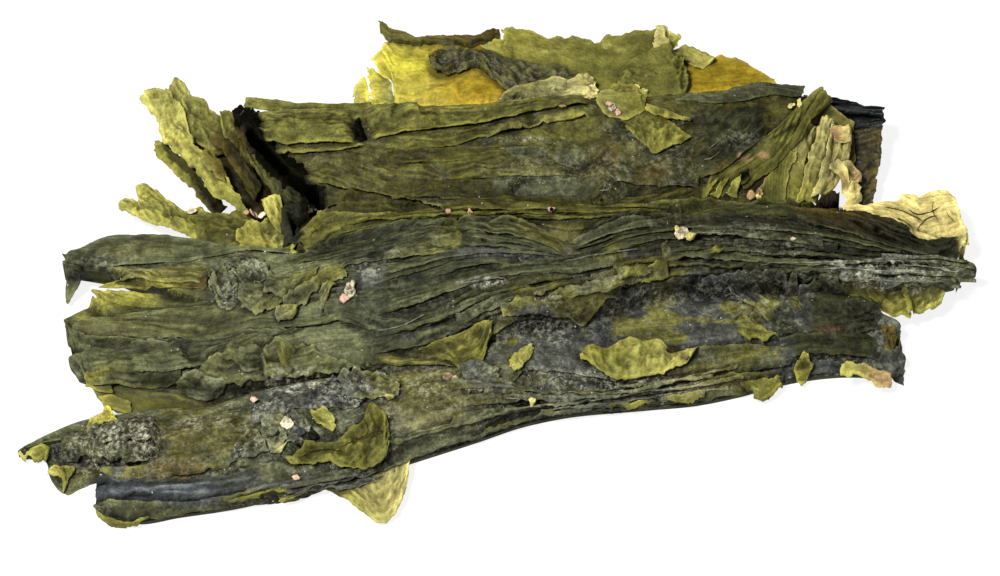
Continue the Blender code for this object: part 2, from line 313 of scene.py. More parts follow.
def lay(x, y, z, tint):
    """Raises the ground to the top of a sheet, and paints it."""
    colours = [finer(tint[..., k]).ravel() for k in range(3)]
    x, y, z = finer(x).ravel(), finer(y).ravel(), finer(z).ravel()
    i = np.clip(np.rint((x - WEST) / PITCH).astype(int), 0, ground.shape[0] - 1)
    j = np.clip(np.rint((y - SOUTH) / PITCH).astype(int), 0, ground.shape[1] - 1)
    np.maximum.at(ground, (i, j), z)
    seen = z >= ground[i, j] - 0.01
    for k in range(3):
        paint[i[seen], j[seen], k] = colours[k][seen]


def blurred(raster, reach):
    """The mean over a square of 2 * reach + 1 cells."""
    for axis in (0, 1):
        pad = [(0, 0), (0, 0)]
        pad[axis] = (reach + 1, reach)
        total = np.cumsum(np.pad(raster, pad, mode="edge"), axis=axis)
        low = np.take(total, range(raster.shape[axis]), axis)
        high = np.take(total, range(2 * reach + 1, raster.shape[axis] + 2 * reach + 1), axis)
        raster = (high - low) / (2 * reach + 1)
    return raster


def highest(raster, reach):
    """The highest value within reach cells."""
    for axis in (0, 1):
        best = raster
        for shift in range(1, reach + 1):
            for way in (-shift, shift):
                best = np.maximum(best, np.roll(raster, way, axis))
        raster = best
    return raster


def seat(points, lift):
    """Where on the kelp laid so far each point of the picture is, as x, y and height plus lift."""
    px, py = np.array(points, float).T
    height = np.full(len(px), START_HEIGHT)
    found = np.zeros(len(px), bool)
    while height.max() > 0 and not found.all():
        x, y = plan(px, py, height)
        found |= read(ground, x, y) + lift >= height
        height = np.where(found, height, height - DESCENT)
        found |= height <= 0
    x, y = plan(px, py, height)
    return np.stack([x, y, height], 1)


def spaced(points, count):
    """A smooth line through picture points, as count points the same distance apart."""
    points = np.array(points, float)
    where = np.concatenate([[0], np.cumsum(np.hypot(*np.diff(points, axis=0).T))])
    t = np.linspace(0, where[-1], count)
    return np.stack([curve(list(zip(where, points[:, k])))(t) for k in (0, 1)], 1)


pieces = {}
run_walls = {}


def keep(piece, x, y, z, tint, salt, along, across):
    """Adds a sheet to a piece: its grid of points, their colour and salt, and how far along the sheet and
    across it they are."""
    pieces.setdefault(piece, []).append((x, y, z, tint, salt, along, across))


def blend(first, second, mix):
    """A grid of colours from the first, where mix is 0, to the second, where it is 1."""
    return np.array(first) * (1 - mix[..., None]) + np.array(second) * mix[..., None]


class Style:
    """How a ply is folded, crumpled, torn and coloured, in mm.

    Stria and crumple are a depth and a distance between folds or creases. Ragged is how torn the far and
    the near edge are, and ends the left and the right end. Lift is how far above the kelp the near edge,
    the middle and the far edge lie. Rim is the paler colour of a free edge, partly its own colour and partly
    a painted highlight, and patch of patches. Fade is how far from the left and the right end a ply merges
    with what it lies on. Way is how close the creases are along the ply and across it.
    """

    def __init__(self, stria=(0.6, 3.2), crumple=(0.4, 6), ragged=(0.3, 0.3), ends=(0.8, 0.8),
                 lift=(0.45, 0.8, -0.2), rim=None, salt=0.1, patch=None, fade=(7.0, 7.0), way=(0.5, 1.0)):
        self.stria, self.crumple, self.ragged, self.ends = stria, crumple, ragged, ends
        self.lift, self.rim, self.salt, self.patch = lift, rim, salt, patch
        self.fade, self.way = fade, way

    def but(self, **changes):
        """The same style with some changes."""
        other = Style()
        other.__dict__.update(self.__dict__)
        other.__dict__.update(changes)
        return other


BLADE = Style(rim=PALEGREY)
TIGHT = BLADE.but(stria=(0.75, 2.4), crumple=(0.35, 5), lift=(0.4, 0.8, 0.0))
THIN = Style(stria=(0.2, 3), crumple=(0.7, 4), ragged=(1.1, 1.1), ends=(1.0, 1.0), rim=LIME,
             lift=(0.6, 1.0, 0.6), salt=0.03, fade=(0, 0), way=(0.8, 1.0))
CRUST = Style(stria=(0.2, 2), crumple=(1.1, 3.2), ragged=(1.0, 1.0), ends=(1.2, 1.2), rim=PALEGREY,
              lift=(0.3, 0.8, 0.1), salt=0.9, fade=(0, 0), way=(1.0, 1.0))
# the style of the near-black sheets of painted shadow in the hollows
INSIDE = THIN.but(crumple=(0.3, 6), rim=None, salt=0)
PLATE = BLADE.but(stria=(0.15, 3), crumple=(0.25, 7), rim=GREYGREEN)
SCRAP = CRUST.but(crumple=(0.6, 1.1), ragged=(0.25, 0.25), ends=(0.25, 0.25), rim=None, salt=0.1,
                  lift=(0.3, 0.8, 0.2))
THREAD = Style(stria=(0, 3), crumple=(0, 5), ragged=(0, 0), ends=(0, 0), lift=(0.15, 0.2, 0.15), salt=0,
               fade=(3, 3))

seeds = iter(range(1000, 9000, 10))


def edge_of(points, lift, ends):
    """An edge of a ply: seated on what is there, or else between the heights of its two ends."""
    line = spaced(points, PROBE)
    if ends is None:
        return seat(line, max(lift, 0))
    z = np.linspace(*ends, PROBE)
    x, y = plan(line[:, 0], line[:, 1], z)
    return np.stack([x, y, z], 1)


def resampled(edge, count):
    """An edge as that many points."""
    places, share = np.linspace(0, 1, PROBE), np.linspace(0, 1, count)
    return np.stack([np.interp(share, places, edge[:, k]) for k in range(3)], 1)


def drape(x, y, s, t, v, length, wave, crown, style, seed):
    """The height of a ply on what is there, and how far each of its places is clear of its faded ends."""
    bend = 4 * v * (1 - v)
    bed = read(blurred(highest(ground, 2), 3), x, y)
    low, middle, high = style.lift
    lifted = low * (1 - v) ** 2 + 2 * middle * v * (1 - v) + high * v ** 2
    held = np.ones(v.shape)
    start, end = style.fade
    if start or end:
        nearest = np.minimum(s / start if start else BARE, (length - s) / end if end else BARE)
        nearest = nearest + 0.4 * fractal(s / 6, t / 2, seed + 21)
        held = np.where(bed > 2, step(nearest, 0, 1), 1)
        lifted = lifted * held - 0.5 * (1 - held)
    z = bed + lifted + crown * bend * held + wave * (0.35 + 0.65 * bend) * (0.3 + 0.7 * held)
    floor = read(highest(ground, 1), x, y) + TOUCH
    return np.where(lifted > 0.05, np.maximum(z, floor), z), held


def coloured(x, y, s, t, u, reach, line, tone, held, colours, style, seed):
    """The colour of each place of a ply: from its left colour to its right one, in patches, with painted
    shade between the folds, and paler at a free edge, partly its own colour and partly a painted highlight."""
    mix = step(u + 0.18 * fractal(s / 7, t / 4, seed + 11), 0.1, 0.9)
    tint = blend(*colours, mix)
    tint = tint * (1 + fractal(x / 8, y / 6, seed + 23)[..., None] * np.array(HUE))
    depth = min(style.stria[0] / 0.6, 1)
    # painted shade: darker along the lines between the folds
    tint = tint * (1 - 0.6 * depth * line * held)[..., None] * (1 + 0.22 * depth * tone)[..., None]
    if style.patch:
        spots = fractal(s / 9, t / 5, seed + 13) + 0.3 * fractal(s / 2, t / 1.5, seed + 17)
        tint = blend(tint, style.patch, step(spots, 0.0, 0.25))
    # a free edge's paler rim colour: partly its own colour, partly a painted highlight
    if style.rim:
        near_edge = t if style.lift[0] > 0 else BARE
        far_edge = reach - t if style.lift[2] > 0 else BARE
        tint = blend(tint, style.rim, RIM_SHARE * np.exp(-np.minimum(near_edge, far_edge) / RIM_REACH))
    return tint


def sheet(piece, far, near, colours, style, heights=None, crown=0.0):
    """One ply between two edges, each a list of picture points. Without heights it is seated on what is
    there. Heights are those of the far edge's two ends and the near edge's two ends."""
    seed = next(seeds)
    far_ends, near_ends = (heights[:2], heights[2:]) if heights else (None, None)
    edges = [edge_of(far, style.lift[2], far_ends), edge_of(near, style.lift[0], near_ends)]
    length = max(np.hypot(*np.diff(edge[:, :2], axis=0).T).sum() for edge in edges)
    width = np.hypot(*(edges[0] - edges[1])[:, :2].T).max()
    nu, nv = max(int(length / CELL[0]), 6) + 1, max(int(width / CELL[1]), 5) + 1
    far_row, near_row = (resampled(edge, nu) for edge in edges)
    u, v = np.meshgrid(np.linspace(0, 1, nu), np.linspace(0, 1, nv), indexing="ij")
    span = (far_row - near_row)[:, None, :]
    place = near_row[:, None, :] + span * v[..., None]
    reach = np.hypot(span[..., 0], span[..., 1]) + 1e-6
    s, t = u * length, v * reach

    # The torn outline
    across = span[..., :2] / reach[..., None]
    outward = style.ragged[0] * torn(s, seed) * v ** 3 - style.ragged[1] * torn(s, seed + 9) * (1 - v) ** 3
    ahead = np.gradient(place[..., :2], axis=0)
    ahead = ahead / (np.hypot(ahead[..., 0], ahead[..., 1]) + 1e-6)[..., None]
    right_end = fractal(t / END_WAVE, t * 0 + 5, seed + 1) * np.exp((s - length) / END_REACH)
    left_end = fractal(t / END_WAVE, t * 0 + 3, seed + 2) * np.exp(-s / END_REACH)
    forward = style.ends[1] * right_end - style.ends[0] * left_end
    x = place[..., 0] + outward * across[..., 0] + forward * ahead[..., 0]
    y = place[..., 1] + outward * across[..., 1] + forward * ahead[..., 1]

    # The folds and the height
    ribs = (t, s) if style.way[0] > style.way[1] else (s, t)
    # line: where the painted shade between two folds goes
    fold, line, tone = pleats(*ribs, style.stria[1], seed + 3)
    facets = crumpled(s * style.way[0], t * style.way[1], style.crumple[1], seed + 5)
    wave = style.stria[0] * fold + style.crumple[0] * facets
    if heights:
        held = np.ones(u.shape)
        z = place[..., 2] + crown * np.sqrt(4 * v * (1 - v)) + wave
        z = np.maximum(z, read(blurred(highest(ground, 3), 2), x, y) + CLEAR)
    else:
        z, held = drape(x, y, s, t, v, length, wave, crown, style, seed)
    bent = TOP - SOFT_TOP
    z = np.maximum(np.where(z > bent, TOP - SOFT_TOP * np.exp((bent - z) / SOFT_TOP), z), LOWEST)

    tint = coloured(x, y, s, t, u, reach, line, tone, held, colours, style, seed)
    if not heights and any(style.fade):
        under = np.stack([read(paint[..., k], x, y) for k in range(3)], -1)
        tint = blend(under, tint, step(held, 0.1, 0.9))
    salt = 0.5 * style.salt * (1 + 0.5 * fractal(s / 5, t / 5, seed + 19))
    keep(piece, x, y, z, tint, salt, s, t)
    lay(x, y, z, tint)


def flow(piece, top, bottom, count, tints, style, seed):
    """Narrow plies between two lines of the picture, each of which starts and ends somewhere else."""
    rng = np.random.default_rng(seed)
    places = 60
    back, front = spaced(top, places + 1), spaced(bottom, places + 1)
    for k in rng.permutation(count):
        first, last = int(places * rng.uniform(0, 0.5)), int(places * rng.uniform(0.6, 1))
        drift = np.linspace(0, rng.uniform(-0.8, 0.8), places + 1)
        at = np.clip((k + drift) / count, 0, 1)[:, None]
        wide = rng.uniform(0.8, 1.5) / count
        far = back + (front - back) * at
        near = back + (front - back) * (at + wide)
        pair = (tints[rng.integers(len(tints))], tints[rng.integers(len(tints))])
        sheet(piece, far[first:last + 1:5], near[first:last + 1:5], pair, style)


# The outline of a scrap, as shares of its half sizes
SCRAP_FAR = ((-1, 0.1), (-0.3, -1), (0.5, -0.8), (1, 0))
SCRAP_NEAR = ((-0.8, 0.5), (0, 1), (0.4, 0.7), (1, 0.3))


def bits(piece, places):
    """Small crumpled scraps or grains, each a picture point, half sizes and a colour. One with a height
    lies at that height, and the others on what is there."""
    for x, y, wide, tall, tint, *height in places:
        far, near = ([(x + a * wide, y + b * tall) for a, b in edge] for edge in (SCRAP_FAR, SCRAP_NEAR))
        sheet(piece, far, near, (tint, tint), SCRAP, tuple(height) * 4)


def fibres(piece, tint, *lines):
    """Thin threads on the kelp, each through picture points."""
    for points in lines:
        sheet(piece, points, [(x, y + THREAD_WIDTH) for x, y in points], (tint, tint), THREAD)


def folds(u, v, count, depth, lean, seed):
    """The long folds of a run, as in the solids."""
    rng = np.random.default_rng(seed)
    wander = 0
    for k in (1, 2, 3):
        turns = k * u + rng.uniform(0, 1)
        wander = wander + rng.uniform(0.3, 0.5) / k * np.sin(2 * math.pi * turns + rng.uniform(1, 3) * v)
    phase = count * v + wander
    rise = np.sin(math.pi * (phase - np.floor(phase)) ** lean)
    swell = 0.7 + 0.3 * np.sin(2 * math.pi * (2 * u + rng.uniform(0, 1)) + 4 * v)
    return depth * swell * (rise - FOLD_MEAN)


def rounded(distance, drop):
    """How far the top falls near an edge, at a distance from it."""
    inward = np.clip(distance / ROUND, 0, 1)
    return drop * (1 - np.sqrt(1 - (1 - inward) ** 2))


def run(piece, cells, near, far, left, right, stations, fold, drops, colours, salt, detail):
    """One run with the form of its solid, finer folds on it, and walls down to its underside."""
    heights = [column(stations, k) for k in range(1, 5)]
    count, depth, lean, seed = fold
    u, v = np.meshgrid(np.linspace(0, 1, cells[0]), np.linspace(0, 1, cells[1]), indexing="ij")
    x = left(v) + (right(v) - left(v)) * u
    width = far(x) - near(x)
    y = near(x) + width * v
    z_near, z_far, crown, under = (height(x) for height in heights)
    top = z_near + (z_far - z_near) * v + crown * 4 * v * (1 - v)
    top = top + folds(u, v, count, depth, lean, seed)
    top = top - rounded(v * width, drops[0]) - rounded((1 - v) * width, drops[1])
    amount, wave = detail
    inside = step(v * width, 0, 2) * step((1 - v) * width, 0, 2)
    fine = pleats(x, v * width, wave, seed + 1)[0] + 0.6 * crumpled(x, y, 5, seed + 4)
    top = top + inside * amount * fine
    top = np.clip(top, SKIN, TOP)
    under = np.clip(under, 0, np.maximum(top - SKIN, 0))
    mix = step(u + 0.1 * fractal(x / 12, y / 8, seed + 8), 0.15, 0.85)
    tint = blend(*colours, mix)
    keep(piece, x, y, top, tint, np.full(x.shape, salt), x - x.min(), v * width)
    run_walls[piece] = (x, y, top, under)
    lay(x, y, top, tint)


def lowest_leaves():
    """A near-black sheet of painted shadow at the bottom of the hollow at the left, the thin ply between the
    left ends of the middle and the front run, and the leaf that comes out from under the front run. They are
    laid before the runs."""
    # painted shadow: a near-black sheet at the bottom of the hollow at the left
    sheet("back_plies", [(238, 106), (262, 114), (288, 150), (315, 182), (350, 208)],
          [(226, 120), (244, 150), (262, 190), (272, 250), (330, 262)], (SHADOW_BLACK, SHADOW_BLACK), INSIDE,
          (3, 3, 3, 3))
    sheet("bottom_leaf", [(316, 478), (345, 470), (372, 462), (398, 456), (410, 452)],
          [(326, 489), (340, 497), (356, 506), (371, 517), (386, 523), (399, 508), (408, 480)],
          (LEAF, PALE), THIN.but(crumple=(0.8, 4), ragged=(0, 1.1), stria=(0.12, 3.0)), (3, 3, 1.5, 2.5),
          crown=1.0)
    thin = THIN.but(crumple=(0.3, 6), rim=None, ragged=(0.2, 0.7), stria=(0.4, 2.5))
    sheet("left_ply", [(90, 384), (120, 378), (150, 374), (190, 372), (240, 374), (268, 380)],
          [(98, 398), (110, 408), (130, 414), (160, 416), (210, 414), (268, 404)], (OLIVE_PALE, OLIVE_DARK),
          thin, (5, 7, 3, 5))
    sheet("left_ply", [(85, 376), (94, 378), (110, 382)], [(86, 386), (96, 392), (112, 394)],
          (LEAF, OLIVE_PALE), thin, (5, 6, 4, 5))
    sheet("left_ply", [(98, 398), (110, 396), (128, 400)], [(104, 407), (116, 411), (132, 413)],
          (LEAF, OLIVE_PALE), thin, (4, 5, 3, 4))


def runs():
    """The three runs. A station is an x with the heights of the near and the far edge, of the crown between
    them and of the underside."""
    run("back_run", (230, 80), lambda x: back_seam(x) + SEAM_GAP, back_edge,
        cut([-58, -60, -52, -62, -70, -77, -80]), cut([93, 92, 93, 91, 93, 94]),
        [(-80, 13, 18, 1, 15), (-62, 12, 21, 2, 12), (-50, 12, 22, 2, 0), (-20, 12, 23, 2, 0),
         (20, 12, 23, 2, 0), (60, 13, 22, 2, 0), (80, 11, 19, 2, 0), (94, 8, 16, 1, 6)],
        (4, 2.0, 0.8, 11), (0, 8), (OLIVE, OLIVE_DARK), 0.1, (0.35, 3.0))
    run("middle_run", (330, 84), lambda x: front_seam(x) + SEAM_GAP, lambda x: back_seam(x) - SEAM_GAP,
        cut([-124, -127, -121, -128, -126, -120, -98, -80, -96, -108, -122, -131, -127, -118]),
        cut([122, 134, 128, 140, 139, 131, 136, 127, 134]),
        [(-131, 5, 10, 1, 3), (-103, 6, 13, 3, 3), (-78, 8, 15, 4, 0), (-60, 10, 17, 6, 0),
         (-20, 13, 21, 6.5, 0), (20, 16, 22, 6.5, 0), (45, 16, 23, 5, 0), (76, 15, 21, 5, 0),
         (104, 12, 17, 3, 3), (120, 11, 14, 1, 5), (141, 9, 10, 0, 6)],
        (5, 3.0, 0.75, 5), (3, 4), (GREYGREEN, DARK), 0.15, (0.4, 1.8))
    run("front_run", (320, 80), lambda x: front_edge(x) + FRONT_INSET,
        lambda x: np.minimum(front_seam(x) - SEAM_GAP, left_tail(x)),
        cut([-106, -115, -110, -114, -100, -117, -126, -139, -133, -124]),
        cut([111, 118, 113, 117, 110, 113]),
        [(-139, 2.5, 4, 1, 0), (-110, 4, 5, 3, 0), (-70, 4, 7, 4, 0), (-30, 4, 10, 4, 0),
         (0, 4, 12, 3, 0), (40, 4, 12, 3, 0), (76, 4, 11, 2, 0), (100, 4, 10, 1, 0), (118, 3, 8, 0, 0)],
        (4, 2.0, 0.8, 8), (5, 0), (GREYGREEN, SLATE), 0.3, (0.35, 2.5))


# Patches of colour, one of them a painted sheen: the colour, how soft they are, then picture points and half
# sizes
STAINS_AND_SHEEN = (
    (OLIVE_PALE, 0.02, [
        (640, 328, 30, 9), (622, 320, 10, 6), (662, 318, 20, 7), (672, 338, 14, 8), (588, 330, 6, 7),
        (511, 341, 8, 5), (664, 300, 16, 7), (652, 308, 8, 6), (742, 308, 22, 7), (756, 316, 16, 6),
        (700, 320, 14, 2), (730, 322, 12, 2), (770, 302, 8, 8),
    ]),
    (SAGE, 0.5, [(135, 250, 38, 9), (150, 326, 60, 8)]),
    (DEEP, 0.6, [(86, 264, 20, 10)]),
    (DARK, 0.5, [(720, 128, 30, 18)]),
    (DEEP, 0.6, [(840, 344, 36, 5)]),
    (LEMON, 0.6, [(408, 66, 26, 9), (392, 58, 10, 6)]),
    (DUN, 0.5, [(425, 412, 32, 12), (690, 384, 30, 6)]),
    # painted highlight: the sheen along the top of the blue-black roll
    (SHEEN, 0.6, [(165, 489, 50, 3)]),
    (LEAF, 0.4, [(160, 286, 24, 4), (118, 302, 24, 6), (90, 316, 12, 7), (94, 376, 12, 5)]),
    (LIME, 0.6, [(553, 52, 14, 2), (618, 51, 8, 3), (607, 46, 4, 3)]),
    (SLATE, 0.3, [
        (368, 276, 17, 11), (478, 252, 26, 5), (642, 256, 14, 4), (290, 392, 30, 9), (350, 385, 20, 10),
    ]),
    (BROWN, 0.6, [
        (655, 172, 20, 10), (610, 157, 14, 8), (170, 470, 32, 8), (230, 160, 18, 14), (835, 212, 40, 5),
        (437, 390, 6, 12), (190, 432, 20, 10),
    ]),
    (OLIVE, 0.5, [
        (430, 395, 40, 16), (720, 372, 40, 8), (640, 262, 40, 6), (540, 290, 30, 8), (220, 432, 30, 16),
    ]),
    (EMBER, 0.7, [(830, 329, 12, 2)]),
    (RUST, 0.5, [(745, 159, 7, 3), (764, 155, 5, 3)]),
    (INK, 0.4, [(180, 500, 45, 4), (548, 326, 34, 6), (706, 296, 20, 10), (598, 331, 15, 9)]),
)
UNSTAINED = ("front_yellow_leaf", "front_green_leaf", "crest_leaf", "bottom_leaf", "back_dark_ruffle")
STAIN_SEED, DUST_SEED = 500, 900
DUST_SOFT = 0.6
# Salt: the amount, then picture points and half sizes
DUST = (
    (1.3, [(120, 436, 34, 13), (868, 268, 42, 4)]),
    (0.4, [(106, 454, 26, 7)]),
    (1.1, [(300, 385, 36, 10), (545, 298, 14, 4), (481, 282, 24, 3), (880, 271, 46, 6)]),
    (0.6, [
        (250, 265, 20, 10), (228, 290, 14, 14), (530, 140, 34, 3), (425, 385, 20, 12), (600, 385, 110, 9),
        (545, 338, 24, 10), (200, 425, 30, 10), (368, 270, 16, 9), (930, 276, 40, 4),
    ]),
    (0.3, [
        (560, 170, 60, 16), (330, 460, 60, 14), (740, 310, 40, 12), (110, 262, 40, 7), (760, 240, 60, 10),
        (480, 320, 40, 12), (660, 300, 50, 10), (740, 140, 20, 10),
    ]),
)


def back_leaves():
    """The margin that stands out behind the back run, from left to right."""
    leaf = THIN.but(crumple=(0.8, 8), stria=(0.1, 3))
    yellow, green, amber = "back_yellow_leaf", "back_green_leaf", "back_amber_leaf"
    sheet(yellow, [(353, 92), (357, 83), (364, 76), (367, 82)],
          [(355, 104), (360, 106), (366, 106), (371, 104)], (LIME, YELLOW), leaf, (6, 8, 8, 9))
    sheet(yellow, [(367, 67), (376, 70), (384, 74), (390, 80)],
          [(373, 106), (380, 106), (388, 106), (396, 106)], (YELLOW, LIME), leaf, (7, 9, 9, 9))
    sheet(yellow, [(371, 61), (379, 54), (386, 41), (400, 40), (425, 44), (450, 43), (480, 42), (506, 48)],
          [(381, 77), (392, 84), (397, 110), (420, 111), (445, 110), (470, 108), (490, 106), (512, 104)],
          (YELLOW, AMBER), leaf.but(ends=(1.6, 0.3), crumple=(0.6, 6)), (7, 11, 8, 11), crown=1.5)
    sheet(yellow, [(378, 20), (386, 24), (398, 31), (420, 37), (435, 35), (465, 37), (482, 36), (498, 30)],
          [(380, 32), (387, 43), (400, 46), (425, 48), (450, 47), (475, 48), (490, 44), (501, 36)],
          (OLIVE, BROWN), leaf.but(rim=OLIVE_PALE, ends=(0.8, 1.2), stria=(0.4, 3)), (10, 12, 8, 11),
          crown=2.0)
    sheet(yellow, [(478, 48), (492, 42), (505, 38), (512, 48)],
          [(488, 54), (500, 58), (508, 64), (514, 62)], (LIME, YELLOW), leaf, (11, 12, 11, 12))
    sheet(amber, [(668, 52), (685, 50), (702, 52), (714, 58), (722, 55), (740, 60), (756, 70), (773, 79)],
          [(680, 92), (685, 98), (700, 100), (722, 98), (740, 96), (752, 94), (764, 90), (776, 86)],
          (AMBER, AMBER), leaf, (7, 6, 9, 8), crown=1.2)
    sheet(amber, [(667, 50), (685, 47), (702, 50), (716, 57)], [(668, 58), (685, 64), (702, 68), (713, 61)],
          (OLIVE_PALE, LIME), leaf, (9, 9, 9, 9), crown=0.8)
    sheet(green, [(502, 29), (515, 27), (530, 30), (545, 36), (575, 38), (603, 41), (606, 36), (625, 34),
                  (645, 30), (661, 27)],
          [(506, 66), (525, 76), (550, 86), (575, 96), (600, 102), (625, 102), (655, 100), (680, 97)],
          (LEAF, OLIVE_PALE), leaf.but(crumple=(0.4, 9), rim=LIME), (12, 12, 11, 11), crown=1.5)
    sheet(green, [(656, 28), (663, 26), (673, 32), (682, 38)], [(652, 60), (660, 66), (668, 54), (678, 46)],
          (PALE, LEAF), leaf.but(crumple=(0.8, 3)), (12, 11, 11, 10))
    fibres(green, RUST, [(664, 38), (661, 46), (657, 56)], [(668, 38), (666, 46), (662, 54)])
    sheet(green, [(622, 70), (640, 60), (656, 52), (672, 50), (684, 58)],
          [(614, 96), (640, 100), (660, 102), (676, 100), (688, 88)], (OLIVE_PALE, OLIVE_PALE),
          leaf.but(crumple=(1.5, 3.8), rim=None), (12, 11, 12, 10), crown=1.2)
    ruffle = THIN.but(crumple=(1.7, 3.2), salt=0.1, rim=OLIVE_PALE, ragged=(0.7, 0.7))
    sheet("back_dark_ruffle", [(430, 56), (442, 49), (465, 50), (488, 52), (510, 60), (545, 67), (562, 69),
                               (588, 80)],
          [(431, 67), (442, 73), (458, 71), (476, 67), (492, 78), (508, 92), (535, 100), (586, 102)],
          (OLIVE_DARK, OLIVE), ruffle, (12, 12, 13, 13), crown=1.4)
    sheet("back_dark_ruffle", [(500, 98), (530, 90), (552, 83), (574, 83), (583, 74), (594, 78)],
          [(504, 106), (535, 106), (560, 104), (580, 102), (590, 100), (598, 94)], (OLIVE_PALE, PALE),
          ruffle.but(rim=PALE), (12, 13, 13, 14), crown=0.8)


def left_leaves():
    """The two crumpled leaves at the left."""
    leaf = THIN.but(crumple=(1.4, 4.0), ragged=(0.8, 0.8))
    upper, lower = "left_upper_leaf", "left_lower_leaf"
    sheet(upper, [(155, 140), (166, 143), (178, 152), (192, 165), (206, 182), (226, 206)],
          [(153, 149), (160, 160), (174, 172), (188, 186), (202, 200), (216, 216)], (LEAF, UMBER),
          leaf.but(rim=OLIVE_PALE, ends=(1.8, 0)), (9, 5, 8, 4))
    inner = leaf.but(rim=None, crumple=(0.8, 5), stria=(0.5, 3))
    sheet(upper, [(206, 124), (226, 128), (240, 138), (256, 158), (276, 184), (306, 214)],
          [(188, 140), (200, 160), (214, 178), (232, 198), (252, 222), (282, 242)], (BROWN, UMBER), inner,
          (11, 8, 9, 6))
    sheet(upper, [(175, 84), (176, 78), (182, 82), (190, 93), (204, 101), (214, 112), (223, 118),
                  (236, 128)],
          [(160, 100), (166, 112), (176, 124), (188, 136), (200, 146), (212, 152), (222, 152), (236, 144)],
          (MOSS, OLIVE_PALE), leaf.but(rim=LEAF, ends=(1.2, 0)), (15, 13, 13, 12), crown=1.5)
    sheet(upper, [(212, 140), (224, 138), (238, 146), (252, 168), (262, 186)],
          [(214, 148), (226, 158), (236, 172), (246, 188), (256, 200)], (BROWN, OLIVE_DARK), inner,
          (13, 11, 12, 10))
    sheet(upper, [(154, 88), (162, 88), (172, 97), (184, 110), (191, 128), (197, 144), (207, 156),
                  (222, 168), (230, 180), (240, 196), (248, 214)],
          [(143, 101), (150, 110), (158, 124), (162, 139), (176, 152), (186, 160), (198, 176), (210, 190),
           (224, 199), (236, 210), (244, 218)], (LIME, LEAF), leaf.but(ends=(1.4, 0.6), rim=LIME),
          (14, 13, 11, 9), crown=2.0)
    sheet(upper, [(202, 155), (210, 152), (218, 158), (224, 172)],
          [(204, 164), (210, 170), (218, 179), (226, 187)], (OLIVE_PALE, BROWN),
          leaf.but(ragged=(1.0, 1.0)), (13.5, 12, 13.5, 12), crown=0.8)
    sheet(upper, [(222, 112), (230, 111), (238, 124), (245, 112), (250, 114), (245, 140), (262, 160),
                  (283, 178), (302, 194), (318, 212)],
          [(220, 122), (224, 132), (232, 142), (240, 152), (246, 160), (253, 168), (262, 180), (272, 192),
           (284, 206), (302, 222)], (OLIVE_PALE, DARK), leaf.but(rim=OLIVE_PALE, stria=(0.5, 2.2)),
          (16, 14, 15, 12), crown=1.6)
    sheet(upper, [(246, 112), (252, 112), (251, 122)], [(238, 126), (240, 138), (244, 140)],
          (LEAF, OLIVE_PALE), leaf, (17, 17, 16, 16))
    sheet(lower, [(117, 207), (126, 198), (138, 202), (136, 184), (147, 184), (161, 193), (173, 205),
                  (184, 210), (196, 206), (210, 215)],
          [(118, 209), (128, 214), (141, 219), (155, 223), (168, 228), (180, 233), (192, 238), (200, 242),
           (206, 244), (212, 246)], (LIME, LEAF), leaf.but(ends=(1.2, 0.4), rim=LIME, ragged=(0.9, 0.3)),
          (8, 9, 7, 9), crown=1.5)
    sheet(lower, [(196, 218), (207, 214), (222, 213), (236, 212), (247, 214), (258, 224)],
          [(196, 248), (212, 250), (228, 251), (244, 252), (256, 254), (264, 256)], (OLIVE, OLIVE_PALE),
          leaf, (10, 12, 9, 10), crown=1.6)
    sheet(lower, [(236, 230), (250, 223), (262, 222), (270, 214), (276, 208), (286, 224), (292, 240)],
          [(240, 252), (252, 256), (262, 260), (272, 262), (280, 262), (290, 262), (298, 256)],
          (LEAF, LIME), leaf.but(crumple=(1.1, 3)), (13, 12, 10, 11), crown=1.0)
    sheet(lower, [(263, 198), (268, 195), (275, 194), (282, 207), (287, 224)],
          [(262, 206), (266, 214), (272, 224), (277, 232), (288, 234)], (LIME, LEAF),
          leaf.but(crumple=(1.1, 3)), (15, 14, 13, 13), crown=1.0)
    # painted shadow: a near-black sheet in the gap at the right of the lower leaf
    sheet(lower, [(284, 226), (296, 222), (306, 220)], [(284, 262), (300, 260), (316, 252)], (DEEP, SHADOW_BLACK),
          inner, (6, 6, 5, 5))
    bits(lower, [
        (254, 215, 4, 3, PINK, 12), (262, 217, 4, 3, CREAM, 13), (247, 217, 3, 2, RUST, 12),
        (192, 212, 5, 4, CREAM, 10),
    ])


